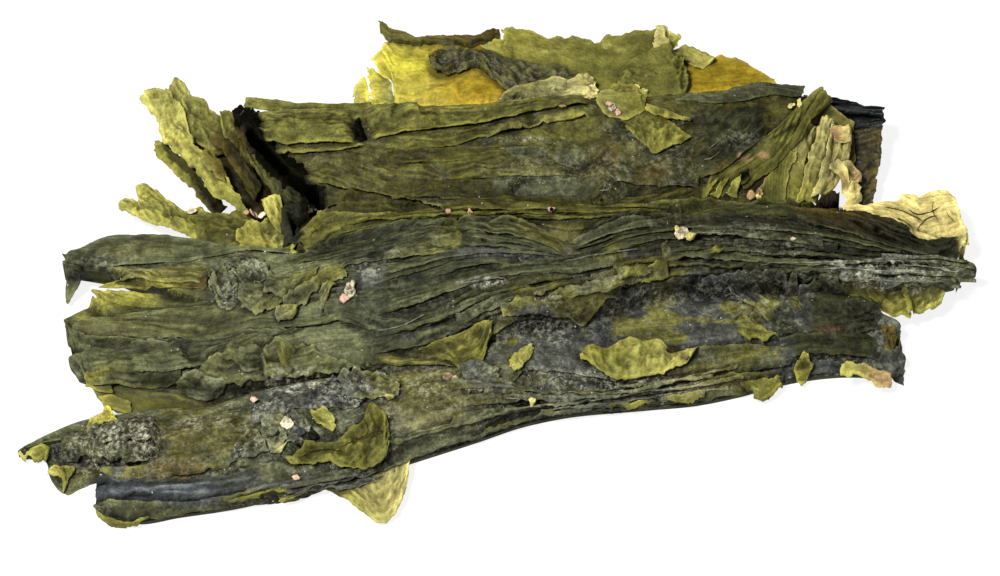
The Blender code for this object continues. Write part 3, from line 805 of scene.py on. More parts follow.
def right_leaves():
    """The dark ply, the ruffles, the roll and the two leaves at the right."""
    sheet("right_dark_ply", [(838, 122), (850, 122), (866, 124), (883, 126)],
          [(853, 208), (858, 208), (866, 207), (873, 204)], (DARK, BROWN),
          BLADE.but(rim=BROWN, patch=UMBER, ragged=(0, 0.6), ends=(0.2, 1.0)), (11, 10, 5, 4))
    sheet("right_dark_ply", [(803, 100), (825, 98), (842, 99), (860, 103), (883, 107)],
          [(800, 132), (815, 126), (835, 126), (858, 128), (883, 128)], (BLACK, BLACK),
          BLADE.but(stria=(0.7, 2.0), rim=SLATE, ragged=(0.2, 0.2), ends=(0.3, 1.8), salt=0),
          (13, 12, 12, 10), crown=1.6)
    pleat = THIN.but(crumple=(1.1, 2.6), stria=(0.4, 1.8), ragged=(0.6, 0.6), rim=TAN)
    ruffle = "right_ruffle"
    sheet(ruffle, [(736, 206), (764, 168), (796, 132), (816, 112), (836, 122), (852, 128)],
          [(772, 214), (796, 206), (816, 196), (832, 184), (846, 172), (856, 160)], (UMBER, OLIVE_PALE),
          pleat, (8, 9, 7, 9))
    sheet(ruffle, [(783, 200), (784, 178), (792, 155), (802, 134)],
          [(799, 206), (802, 182), (809, 156), (819, 128)], (LEAF, PALE), pleat, (12, 13, 12, 13),
          crown=1.6)
    sheet(ruffle, [(750, 204), (764, 186), (776, 172), (788, 158)],
          [(786, 208), (786, 192), (790, 176), (796, 160)], (OLIVE_PALE, LEAF), pleat, (12, 13, 12, 13),
          crown=1.0)
    sheet(ruffle, [(797, 204), (802, 178), (811, 148), (820, 119)],
          [(817, 206), (823, 180), (830, 155), (834, 124)], (LEAF, PALE), pleat, (13, 15, 12, 14),
          crown=2.0)
    sheet(ruffle, [(811, 204), (819, 180), (827, 155), (831, 129)],
          [(826, 200), (840, 177), (850, 155), (852, 127)], (PALE, PALE), pleat, (12, 14, 10, 13),
          crown=1.6)
    sheet(ruffle, [(829, 131), (838, 128), (851, 127)], [(834, 144), (841, 147), (851, 143)], (RUST, TAN),
          pleat, (15, 15, 14, 14))
    sheet(ruffle, [(838, 172), (848, 167), (856, 168), (862, 176)],
          [(843, 182), (850, 186), (857, 185), (862, 180)], (TAN, RUST), pleat, (10, 10, 9, 9), crown=1.0)
    sheet(ruffle, [(828, 178), (838, 172), (846, 180), (854, 196)],
          [(828, 186), (838, 188), (845, 194), (850, 202)], (PALE, TAN), pleat, (9, 8, 8, 7), crown=1.0)
    sheet(ruffle, [(846, 196), (852, 188), (861, 190)], [(846, 206), (854, 207), (862, 200)], (TAN, PALE),
          pleat, (8, 8, 7, 7), crown=0.8)
    roll = "right_roll"
    stem = THIN.but(stria=(0.6, 1.6), crumple=(0.3, 5), rim=LEAF, ragged=(0.3, 0.3))
    sheet(roll, [(701, 200), (712, 181), (734, 164), (760, 145), (785, 123), (796, 108), (808, 98),
                 (819, 90)],
          [(722, 203), (738, 190), (754, 180), (768, 168), (786, 150), (800, 132), (812, 112), (824, 97)],
          (OLIVE_PALE, OLIVE_PALE), stem, (14, 17, 13, 16), crown=3.0)
    sheet(roll, [(738, 185), (760, 172), (778, 158), (794, 138), (806, 118), (820, 97)],
          [(742, 198), (762, 186), (780, 170), (797, 150), (812, 124), (834, 101)], (OLIVE, OLIVE_PALE),
          stem, (14, 17, 12, 15), crown=2.4)
    # painted shadow: a near-black sheet in a hole of the roll
    sheet(roll, [(733, 196), (739, 190), (746, 188)], [(735, 203), (742, 204), (748, 200)],
          (SHADOW_BLACK, SHADOW_BLACK), stem, (9, 9, 8, 8))
    bits(roll, [
        (751, 196, 5, 5, RUST), (760, 194, 3, 6, RUST), (758, 199, 3, 3, TAN), (791, 107, 4, 3, PALE),
        (799, 104, 3, 3, PALE),
    ])
    for left, top, lean in ((706, 188, 4), (718, 186, 3), (732, 184, 2)):
        sheet(roll, [(left, top), (left - 3, top + 8), (left - 6, top + 17)],
              [(left + 10, top - 6), (left + 8 - lean, top + 6), (left + 3 - lean, top + 18)],
              (LEAF, LEAF), THIN.but(crumple=(0.5, 3)), (17, 14, 17, 14), crown=0.8)
    leaf = THIN.but(crumple=(0.8, 4), rim=TAN)
    sheet("right_tan_leaf", [(840, 208), (865, 203), (897, 199), (920, 194), (945, 189), (954, 194),
                             (958, 208)],
          [(852, 220), (885, 228), (903, 236), (914, 246), (935, 248), (952, 246), (968, 242)], (TAN, TAN),
          leaf, (8, 12, 10, 9), crown=1.5)
    sheet("right_tan_leaf", [(942, 250), (956, 244), (966, 240)], [(951, 259), (956, 262), (962, 263)],
          (TAN, PALE), leaf, (6, 6, 4, 4))
    fibres(
        "right_tan_leaf", BROWN, [(880, 206), (900, 210), (925, 222)],
        [(905, 205), (915, 214), (930, 212), (944, 204)], [(915, 232), (925, 220), (940, 214)],
        [(935, 196), (932, 208), (938, 222)], [(944, 206), (950, 218), (958, 224)],
        [(893, 216), (908, 224), (916, 236)],
    )
    green = THIN.but(crumple=(1.3, 3.2))
    for far, near, tints in (
        ([(820, 280), (845, 280), (868, 282)], [(838, 298), (856, 308), (872, 312)],
         (OLIVE_PALE, OLIVE_PALE)),
        ([(860, 282), (884, 282), (904, 282)], [(868, 306), (886, 316), (910, 317)], (OLIVE_PALE, LEAF)),
        ([(898, 282), (925, 282), (946, 284)], [(908, 318), (928, 308), (943, 302)], (LEAF, LIME)),
    ):
        sheet("right_green_ruffle", far, near, tints, green, (9, 8, 6, 6), crown=1.2)


def back_plies():
    """The folds and plies on the back run."""
    ply = "back_plies"
    soft = BLADE.but(rim=OLIVE_PALE, stria=(0.4, 4.5), crumple=(1.5, 8.5), salt=0.05, way=(0.6, 1.0))
    # painted shadow: a near-black sheet in the hollow at the back run's left end
    sheet(ply, [(241, 114), (252, 111), (262, 116), (268, 134), (283, 153), (301, 165), (320, 184),
                (340, 194), (352, 198)],
          [(234, 124), (240, 140), (250, 152), (262, 166), (280, 182), (298, 196), (312, 210), (334, 208),
           (350, 204)], (SHADOW_BLACK, SHADOW_BLACK), INSIDE.but(lift=(0.1, 0.1, 0.1), fade=(0, 9)))
    sheet(ply, [(300, 158), (330, 152), (380, 150), (440, 152), (500, 145), (560, 140)],
          [(305, 181), (335, 186), (365, 191), (400, 199), (450, 208), (520, 205)], (OLIVE, OLIVE),
          soft.but(lift=(1.3, 0.8, 0.1), salt=0.2))
    sheet(ply, [(318, 186), (350, 192), (400, 201), (430, 208)],
          [(322, 212), (350, 213), (400, 217), (436, 214)], (OLIVE_DARK, OLIVE),
          soft.but(lift=(0.2, 0.4, -0.6)))
    sheet(ply, [(420, 155), (480, 150), (540, 146), (600, 140), (640, 140)],
          [(430, 205), (480, 207), (540, 204), (600, 204), (640, 200)], (OLIVE, OLIVE_DARK),
          soft.but(lift=(0.3, 0.5, 0.0), patch=GREYGREEN, salt=0.3, stria=(0.35, 3)))
    sheet(ply, [(262, 116), (290, 112), (320, 118), (352, 124)],
          [(270, 152), (300, 153), (340, 149), (372, 143)], (OLIVE_PALE, OLIVE_PALE),
          soft.but(lift=(1.0, 1.6, 0.2), crumple=(0.5, 5)))
    sheet(ply, [(376, 126), (420, 118), (470, 118), (520, 110), (545, 108)],
          [(378, 147), (410, 149), (445, 147), (480, 138), (530, 124)], (OLIVE_PALE, OLIVE),
          soft.but(lift=(0.8, 1.0, 0.0)))
    sheet(ply, [(480, 120), (520, 112), (560, 104), (590, 102)],
          [(485, 138), (520, 130), (560, 122), (600, 116)], (OLIVE, OLIVE_PALE),
          soft.but(lift=(0.6, 0.8, 0.0), salt=0.25))
    sheet(ply, [(357, 108), (400, 106), (440, 107), (480, 105), (530, 99), (596, 94)],
          [(366, 139), (400, 132), (440, 127), (490, 121), (540, 110), (592, 102)], (OLIVE_PALE, OLIVE),
          soft.but(lift=(1.1, 1.2, 0.2)))
    sheet(ply, [(252, 116), (275, 112), (300, 110), (335, 109), (357, 109)],
          [(260, 138), (280, 143), (310, 143), (335, 142), (357, 141)], (OLIVE_PALE, OLIVE_PALE),
          soft.but(lift=(1.2, 2.0, 0.4), crumple=(0.6, 5)))
    sheet(ply, [(245, 97), (262, 98), (300, 103), (340, 104), (372, 102)],
          [(244, 105), (262, 109), (300, 113), (340, 112), (372, 110)], (OLIVE_PALE, OLIVE),
          soft.but(fade=(0, 0), crumple=(0.2, 5)), (15, 15, 14, 14))
    # painted shadow: a near-black sheet in a notch of the fold
    sheet(ply, [(354, 123), (358, 121), (362, 128), (366, 137)],
          [(355, 140), (359, 142), (364, 141), (368, 140)], (SHADOW_BLACK, SHADOW_BLACK),
          soft.but(lift=(0.2, 0.2, 0.2), rim=None, fade=(0, 0), salt=0))
    sheet(ply, [(690, 95), (720, 98), (745, 86), (775, 83), (804, 85)],
          [(676, 101), (715, 106), (745, 104), (775, 99), (803, 100)], (GREYGREEN, DARK),
          soft.but(rim=GREYGREEN, salt=0.2, crumple=(0.8, 5)), (21, 12.5, 22, 15))
    sheet(ply, [(690, 110), (715, 106), (745, 106), (768, 108)],
          [(690, 180), (710, 176), (735, 160), (770, 130)], (DARK, DEEP),
          soft.but(lift=(0.6, 0.8, 0.2), crumple=(0.9, 5), patch=BROWN))
    sheet(ply, [(642, 190), (680, 186), (712, 188)], [(602, 205), (650, 207), (704, 200)],
          (OLIVE, OLIVE_DARK), soft.but(lift=(0.8, 1.0, 0.1)))
    sheet(ply, [(596, 112), (640, 118), (690, 125)], [(606, 178), (650, 186), (700, 186)], (OLIVE, DARK),
          soft.but(lift=(0.4, 0.6, 0.0), crumple=(0.6, 5), patch=DARK, salt=0.4))
    sheet(ply, [(298, 232), (318, 214), (360, 213), (420, 214), (480, 209), (540, 206), (600, 208),
                (640, 206)],
          [(291, 250), (318, 244), (345, 236), (400, 224), (450, 220), (510, 220), (572, 231), (640, 216)],
          (OLIVE_PALE, OLIVE), soft.but(lift=(0.2, 1.2, 0.7)))
    sheet(ply, [(600, 208), (640, 204), (690, 200), (740, 203), (804, 203)],
          [(600, 224), (650, 217), (700, 216), (760, 218), (806, 221)], (OLIVE, DARK),
          soft.but(lift=(0.1, 0.9, 0.6)))
    narrow = soft.but(stria=(0.35, 2.6), crumple=(0.6, 5), lift=(0.4, 0.7, 0.0), fade=(10, 10))
    flow(ply, [(318, 212), (420, 211), (520, 206), (640, 205), (800, 204)],
         [(304, 244), (400, 224), (510, 221), (640, 217), (800, 219)], 6, (OLIVE, OLIVE_DARK, OLIVE),
         narrow, 37)
    flow(ply, [(310, 160), (380, 151), (480, 147), (600, 142)],
         [(335, 206), (420, 208), (520, 206), (640, 202)], 4, (OLIVE, OLIVE_DARK, OLIVE),
         narrow.but(lift=(0.3, 0.5, 0.0), crumple=(0.9, 6)), 38)
    fibres(
        ply, HAIR, [(600, 200), (604, 188), (610, 176)], [(598, 190), (606, 192), (614, 184)],
        [(514, 186), (520, 178), (524, 184)], [(706, 150), (716, 144), (724, 136)],
        [(700, 160), (712, 158), (722, 150)], [(720, 128), (730, 138), (742, 144)],
        [(606, 172), (612, 176), (618, 182)], [(560, 136), (566, 140), (562, 146)],
        [(426, 160), (432, 166), (440, 170)],
    )
    # the near-black bit is painted shadow in a hole of the pink bit
    bits(ply, [
        (448, 211, 3, 2, PINK), (470, 213, 3, 2, RUST), (551, 210, 4, 3, PINK), (551, 210, 2, 2, SHADOW_BLACK),
        (562, 108, 4, 2, RUST), (644, 91, 5, 3, PALE), (636, 88, 4, 3, PALE),
    ])
    leaf = THIN.but(crumple=(1.3, 3.6), ragged=(0.5, 0.5), stria=(0.15, 3.2), way=(0.9, 0.8))
    sheet("crest_leaf", [(622, 120), (640, 112), (652, 109), (672, 124), (692, 138)],
          [(632, 134), (642, 142), (654, 154), (668, 148), (684, 142)], (OLIVE_PALE, LEAF), leaf)
    sheet("crest_leaf", [(602, 92), (616, 83), (640, 88), (648, 96)],
          [(604, 104), (618, 104), (634, 106), (644, 110)], (OLIVE_PALE, LEAF), leaf, (19, 19.5, 21, 21))
    sheet("crest_leaf", [(591, 96), (604, 92), (625, 96), (641, 101)],
          [(602, 112), (612, 119), (622, 121), (645, 112)], (MOSS, LEAF),
          leaf.but(crumple=(1.9, 3.2), ragged=(0.9, 0.9)), (20, 21, 22.5, 22.5), crown=0.4)
    sheet("crest_leaf", [(645, 104), (668, 112), (690, 119)], [(646, 110), (668, 119), (688, 122)],
          (LEAF, OLIVE_PALE), leaf)
    bits("crest_leaf", [(612, 107, 4, 5, CREAM), (609, 104, 4, 2, PINK), (618, 113, 3, 3, PINK)])


def front_plates():
    """The broad plates of the front run, whose far edges lie under the middle run's front plies."""
    ply = "front_plies"
    sheet(ply, [(376, 370), (430, 362), (470, 354), (520, 346), (580, 342)],
          [(400, 440), (450, 428), (500, 412), (560, 400), (620, 394)], (OLIVE_PALE, GREYGREEN),
          PLATE.but(salt=0.5, patch=SLATE, crumple=(0.5, 6), lift=(0.8, 0.9, 0.2)))
    sheet(ply, [(496, 316), (540, 304), (580, 298), (640, 288), (700, 272), (740, 272)],
          [(500, 372), (560, 372), (620, 382), (680, 376), (730, 366), (770, 352)], (SLATE, SLATE),
          PLATE.but(salt=0.4, lift=(0.5, 1.0, 0.3), crumple=(0.2, 9), stria=(0.1, 4)))
    sheet(ply, [(640, 360), (700, 348), (760, 346), (800, 348)],
          [(620, 396), (680, 388), (740, 376), (790, 366)], (OLIVE, OLIVE_PALE),
          PLATE.but(salt=0.3, patch=GREYGREEN, lift=(0.4, 0.9, 0.2)))


def middle_plies():
    """The pleats of the middle run, from its left tongues to its right end."""
    ply = "middle_plies_left"
    sheet(ply, [(62, 253), (66, 261), (67, 270), (66, 286), (66, 302)],
          [(80, 258), (82, 268), (82, 278), (76, 290), (67, 303)], (DARK, GREYGREEN),
          BLADE.but(stria=(0.1, 2), crumple=(0.3, 5), ends=(0.2, 0.2)), (9, 2, 9, 2))
    smooth = BLADE.but(crumple=(0.15, 7), stria=(0.35, 2.6), fade=(0, 6))
    sheet(ply, [(92, 290), (118, 291), (150, 293), (175, 294), (210, 288), (260, 296)],
          [(97, 299), (114, 312), (140, 320), (180, 322), (212, 320), (260, 322)], (LEAF, GREYGREEN),
          smooth.but(rim=OLIVE_PALE, ragged=(0.3, 0)), (8, 15, 8, 14))
    sheet(ply, [(100, 286), (125, 279), (150, 277), (180, 278), (210, 278)],
          [(103, 287), (130, 288), (150, 290), (166, 294), (206, 296)], (LEAF, BROWN), smooth.but(rim=None),
          (8, 14, 7.5, 13))
    sheet(ply, [(65, 319), (82, 311), (104, 302), (150, 304), (200, 304), (240, 310), (290, 318),
                (340, 313), (372, 305)],
          [(66, 335), (85, 337), (120, 338), (155, 338), (200, 339), (240, 332), (290, 328), (340, 322),
           (376, 314)], (SAGE, GREYGREEN), smooth.but(lift=(0.9, 1.0, -0.4), rim=PALEGREY))
    sheet(ply, [(70, 268), (110, 270), (150, 269), (190, 267), (216, 262)],
          [(82, 277), (104, 280), (122, 283), (150, 283), (208, 282)], (OLIVE, OLIVE_PALE),
          BLADE.but(salt=0.3, lift=(0.4, 0.5, 0.2)))
    sheet(ply, [(72, 258), (88, 247), (101, 238), (114, 235), (160, 235), (186, 238), (215, 243),
                (245, 248), (290, 250)],
          [(66, 268), (90, 271), (120, 270), (160, 269), (190, 268), (210, 263), (235, 256), (262, 255),
           (290, 259)], (GREYGREEN, GREYGREEN), BLADE.but(stria=(0.4, 2.8), salt=0.15, ends=(1.5, 0.5)),
          (8, 16, 8.5, 15))
    sheet(ply, [(64, 320), (80, 336), (150, 339), (200, 340), (240, 334), (300, 330)],
          [(72, 356), (80, 368), (88, 382), (120, 384), (190, 368), (262, 347)], (GREYGREEN, GREYGREEN),
          BLADE.but(crumple=(0.7, 5), lift=(0.6, 0.9, 0.2), ends=(1.5, 0.5)))
    sheet(ply, [(86, 362), (110, 358), (140, 360), (180, 366)],
          [(88, 383), (108, 383), (130, 388), (184, 386)], (SAGE, GREYGREEN),
          BLADE.but(crumple=(0.6, 5), rim=LEAF, ends=(1.5, 0.5)))
    flake = BLADE.but(crumple=(0.7, 4.5), ragged=(0.8, 0.6), ends=(1.0, 1.0), fade=(3, 3),
                      lift=(0.3, 0.8, 0.2))
    for far, near, tints in (
        ([(120, 345), (150, 340), (180, 345)], [(130, 372), (160, 374), (196, 366)],
         (GREYGREEN, GREYGREEN)),
        ([(196, 368), (215, 358), (238, 356), (264, 352)], [(200, 378), (222, 386), (245, 384), (266, 378)],
         (SAGE, GREYGREEN)),
        ([(176, 380), (198, 373), (215, 377), (228, 385)], [(182, 392), (196, 400), (212, 401), (224, 395)],
         (GREYGREEN, PALEGREY)),
        ([(222, 352), (235, 337), (255, 334), (275, 340)], [(224, 358), (238, 362), (258, 360), (274, 352)],
         (SAGE, GREYGREEN)),
        ([(232, 352), (246, 346), (264, 350)], [(236, 366), (250, 373), (266, 368)],
         (GREYGREEN, GREYGREEN)),
        ([(260, 356), (269, 344), (277, 338), (290, 344), (320, 352), (352, 364), (374, 368)],
         [(262, 366), (268, 380), (280, 383), (300, 378), (320, 375), (352, 372), (376, 372)],
         (SAGE, GREYGREEN)),
        ([(278, 339), (284, 344), (296, 350)], [(277, 352), (284, 366), (292, 372)], (OLIVE_PALE, OLIVE)),
    ):
        sheet(ply, far, near, tints, flake)
    for far, near in (
        ([(206, 268), (216, 262), (236, 256), (262, 260)],
         [(212, 292), (228, 272), (245, 270), (266, 276)]),
        ([(212, 270), (226, 268), (240, 284)], [(214, 300), (226, 312), (240, 300)]),
        ([(236, 262), (252, 260), (268, 268)], [(240, 280), (254, 284), (268, 282)]),
    ):
        sheet(ply, far, near, (GREYGREEN, PINE), CRUST.but(salt=0.6, crumple=(1.2, 2.6)))
    for far, near in (
        ([(238, 284), (262, 284), (286, 290)], [(242, 308), (254, 313), (284, 300)]),
        ([(268, 270), (290, 276), (318, 270)], [(264, 290), (286, 296), (312, 284)]),
        ([(282, 300), (300, 285), (320, 271), (344, 266)],
         [(286, 319), (304, 306), (320, 290), (348, 275)]),
        ([(318, 292), (324, 284), (332, 278)], [(320, 312), (326, 300), (336, 288)]),
        ([(274, 316), (280, 310), (288, 306)], [(276, 321), (286, 320), (300, 308)]),
    ):
        sheet(ply, far, near, (GREYGREEN, OLIVE_PALE), THIN.but(rim=PALEGREY, crumple=(0.8, 3), salt=0.2))

    ply = "middle_plies_right"
    band = TIGHT.but(rim=PALEGREY)
    bands = (
        ([(350, 262), (400, 254), (450, 247), (510, 243), (560, 252)],
         [(350, 290), (400, 280), (450, 268), (510, 266), (566, 258)], (GREYGREEN, SLATE), 0.5),
        ([(372, 330), (410, 322), (450, 308), (500, 298), (560, 290), (620, 280)],
         [(372, 364), (420, 366), (462, 364), (500, 330), (560, 314), (620, 300)], (OLIVE_PALE, LEAF), 0.1),
        ([(340, 318), (400, 318), (440, 306), (490, 292), (540, 284), (600, 276)],
         [(366, 354), (410, 350), (460, 332), (505, 312), (560, 300), (610, 288)], (PINE, GREYGREEN), 0.2),
        ([(320, 302), (370, 298), (430, 290), (500, 280), (560, 268), (620, 262)],
         [(330, 320), (400, 332), (450, 318), (500, 298), (560, 284), (626, 276)], (PINE, GREYGREEN), 0.2),
        ([(360, 284), (400, 274), (440, 266), (480, 262), (540, 262), (600, 252)],
         [(360, 300), (400, 296), (440, 290), (490, 284), (550, 276), (610, 264)], (PINE, GREYGREEN), 0.2),
        ([(560, 262), (620, 250), (680, 242), (740, 242), (800, 246), (862, 258)],
         [(560, 276), (620, 266), (680, 262), (740, 262), (800, 262), (862, 266)], (PINE, DARK), 0.3),
        ([(590, 276), (630, 268), (680, 262), (740, 264), (800, 268), (850, 272)],
         [(590, 290), (630, 288), (680, 278), (740, 280), (800, 284), (850, 288)], (OLIVE, PINE), 0.3),
        ([(300, 249), (340, 238), (390, 226), (430, 222), (456, 222)],
         [(288, 264), (330, 258), (380, 246), (430, 232), (456, 228)], (DARK, GREYGREEN), 0.1),
        ([(330, 258), (380, 246), (420, 236), (460, 230), (510, 232), (545, 240), (570, 254)],
         [(336, 268), (390, 258), (430, 250), (470, 244), (520, 243), (550, 250), (568, 258)],
         (PINE, GREYGREEN), 0.1),
        ([(454, 222), (490, 221), (522, 224), (548, 234), (572, 252)],
         [(456, 228), (490, 233), (525, 237), (550, 246), (568, 256)], (GREYGREEN, OLIVE), 0.1),
        ([(552, 244), (576, 238), (600, 224), (640, 216), (700, 216), (760, 217), (830, 228), (900, 246),
          (950, 258)],
         [(562, 253), (590, 246), (620, 236), (660, 232), (700, 236), (760, 240), (830, 252), (900, 262),
          (946, 266)], (DARK, DEEP), 0.15),
        ([(560, 244), (590, 232), (620, 222), (650, 217)], [(568, 252), (596, 240), (626, 230), (660, 226)],
         (GREYGREEN, GREYGREEN), 0.2),
        ([(590, 252), (620, 240), (660, 233), (690, 232)], [(596, 257), (630, 248), (668, 243), (700, 242)],
         (OLIVE_PALE, GREYGREEN), 0.1),
        ([(700, 218), (760, 219), (820, 230), (870, 240), (912, 250)],
         [(700, 230), (760, 234), (820, 242), (870, 250), (915, 258)], (DEEP, DARK), 0.05),
        ([(802, 206), (850, 210), (882, 216), (904, 225), (918, 238), (944, 239), (968, 234)],
         [(802, 222), (845, 232), (880, 243), (920, 254), (945, 260), (956, 256), (964, 248)],
         (UMBER, DEEP), 0.05),
        ([(760, 262), (820, 264), (850, 261), (890, 262), (930, 264), (958, 268), (974, 272)],
         [(770, 276), (830, 284), (880, 288), (930, 290), (958, 290), (974, 285)], (SLATE, GREYGREEN), 0.8),
    )
    for far, near, tints, salt in bands:
        sheet(ply, far, near, tints, band.but(salt=salt))
    splinter = TIGHT.but(stria=(0.2, 1.2), crumple=(0.15, 4), ragged=(0.1, 0.1), fade=(0, 0),
                         ends=(0.3, 1.5), salt=1.0)
    for left, right, top in (
        (880, 966, 263), (860, 974, 268), (890, 958, 273), (870, 973, 277), (880, 962, 283),
    ):
        middle = (left + right) / 2
        sheet(ply, [(left, top), (middle, top + 1), (right, top + 2)],
              [(left, top + 5), (middle, top + 5), (right, top + 5)], (SLATE, DARK), splinter,
              (13, 9.5, 12, 9))
    narrow = TIGHT.but(stria=(0.4, 1.6), crumple=(0.3, 4), lift=(0.5, 0.8, 0.0), fade=(10, 10))
    flow(ply, [(310, 262), (350, 250), (400, 238), (450, 231), (500, 236), (540, 246), (575, 258)],
         [(330, 322), (380, 344), (430, 334), (480, 310), (540, 290), (600, 278), (640, 270)], 13,
         (DARK, PINE, GREYGREEN, PINE), narrow, 31)
    flow(ply, [(575, 250), (620, 232), (680, 222), (760, 222), (830, 232), (900, 250), (950, 262)],
         [(560, 285), (620, 278), (680, 272), (740, 274), (800, 276), (860, 270), (950, 268)], 12,
         (DARK, DEEP, PINE, DARK), narrow, 32)
    sheet(ply, [(418, 351), (440, 343), (460, 336), (478, 328), (494, 324)],
          [(436, 362), (446, 359), (462, 370), (482, 361), (488, 345)], (OLIVE_PALE, LEAF),
          THIN.but(crumple=(0.9, 4), ragged=(0.2, 0.5), rim=LEAF, fade=(9, 0), lift=(0.8, 1.0, 0.0)))
    flap = THIN.but(crumple=(0.8, 3.2), ragged=(1.1, 0.4), rim=OLIVE_PALE, lift=(0.5, 0.7, 0.0),
                    fade=(5, 5), salt=0.3)
    flaps = (
        ([(378, 254), (392, 247), (416, 245), (440, 240), (466, 236)],
         [(380, 259), (398, 260), (420, 255), (446, 252), (468, 247)], (GREYGREEN, OLIVE_PALE)),
        ([(422, 236), (438, 229), (452, 228), (467, 236)], [(424, 243), (440, 247), (456, 245), (468, 243)],
         (GREYGREEN, OLIVE_PALE)),
        ([(500, 306), (530, 300), (560, 294), (590, 290), (620, 282)],
         [(503, 318), (528, 319), (552, 320), (568, 322), (580, 327), (592, 321), (604, 308), (622, 298)],
         (OLIVE_PALE, OLIVE_PALE)),
        ([(560, 288), (600, 280), (640, 270), (668, 268)], [(566, 298), (604, 296), (642, 284), (670, 278)],
         (PALEGREY, OLIVE_PALE)),
        ([(616, 268), (634, 265), (652, 266)], [(622, 280), (636, 281), (650, 276)], (LEAF, OLIVE_PALE)),
        ([(664, 243), (670, 246), (676, 254)], [(660, 247), (664, 258), (674, 259)], (LEAF, PALEGREY)),
        ([(704, 252), (716, 245), (729, 243)], [(706, 257), (716, 255), (728, 247)], (LEAF, OLIVE_PALE)),
        ([(788, 290), (798, 296), (806, 311)], [(784, 295), (790, 305), (802, 316)],
         (OLIVE_PALE, OLIVE_PALE)),
    )
    for far, near, tints in flaps:
        sheet(ply, far, near, tints, flap)
    bits(ply, [
        (682, 234, 8, 6, CREAM), (690, 238, 6, 5, PALE), (677, 229, 3, 3, PALE), (350, 291, 6, 8, CREAM),
        (344, 299, 5, 4, PINK), (353, 284, 3, 4, CREAM), (540, 295, 6, 3, PALEGREY),
        (556, 300, 7, 3, PALEGREY), (448, 377, 6, 4, PINK), (455, 379, 4, 3, CREAM),
        (793, 240, 3, 2, CREAM),
    ])
    fibres(
        ply, HAIR, [(372, 332), (400, 326), (430, 312)], [(455, 284), (480, 281), (507, 279)],
        [(560, 262), (600, 254), (640, 250)], [(760, 266), (800, 263), (850, 262)],
        [(820, 270), (870, 270), (930, 275)], [(850, 281), (900, 283), (950, 286)],
        [(880, 265), (930, 268), (974, 276)], [(690, 232), (720, 236), (745, 236)],
    )


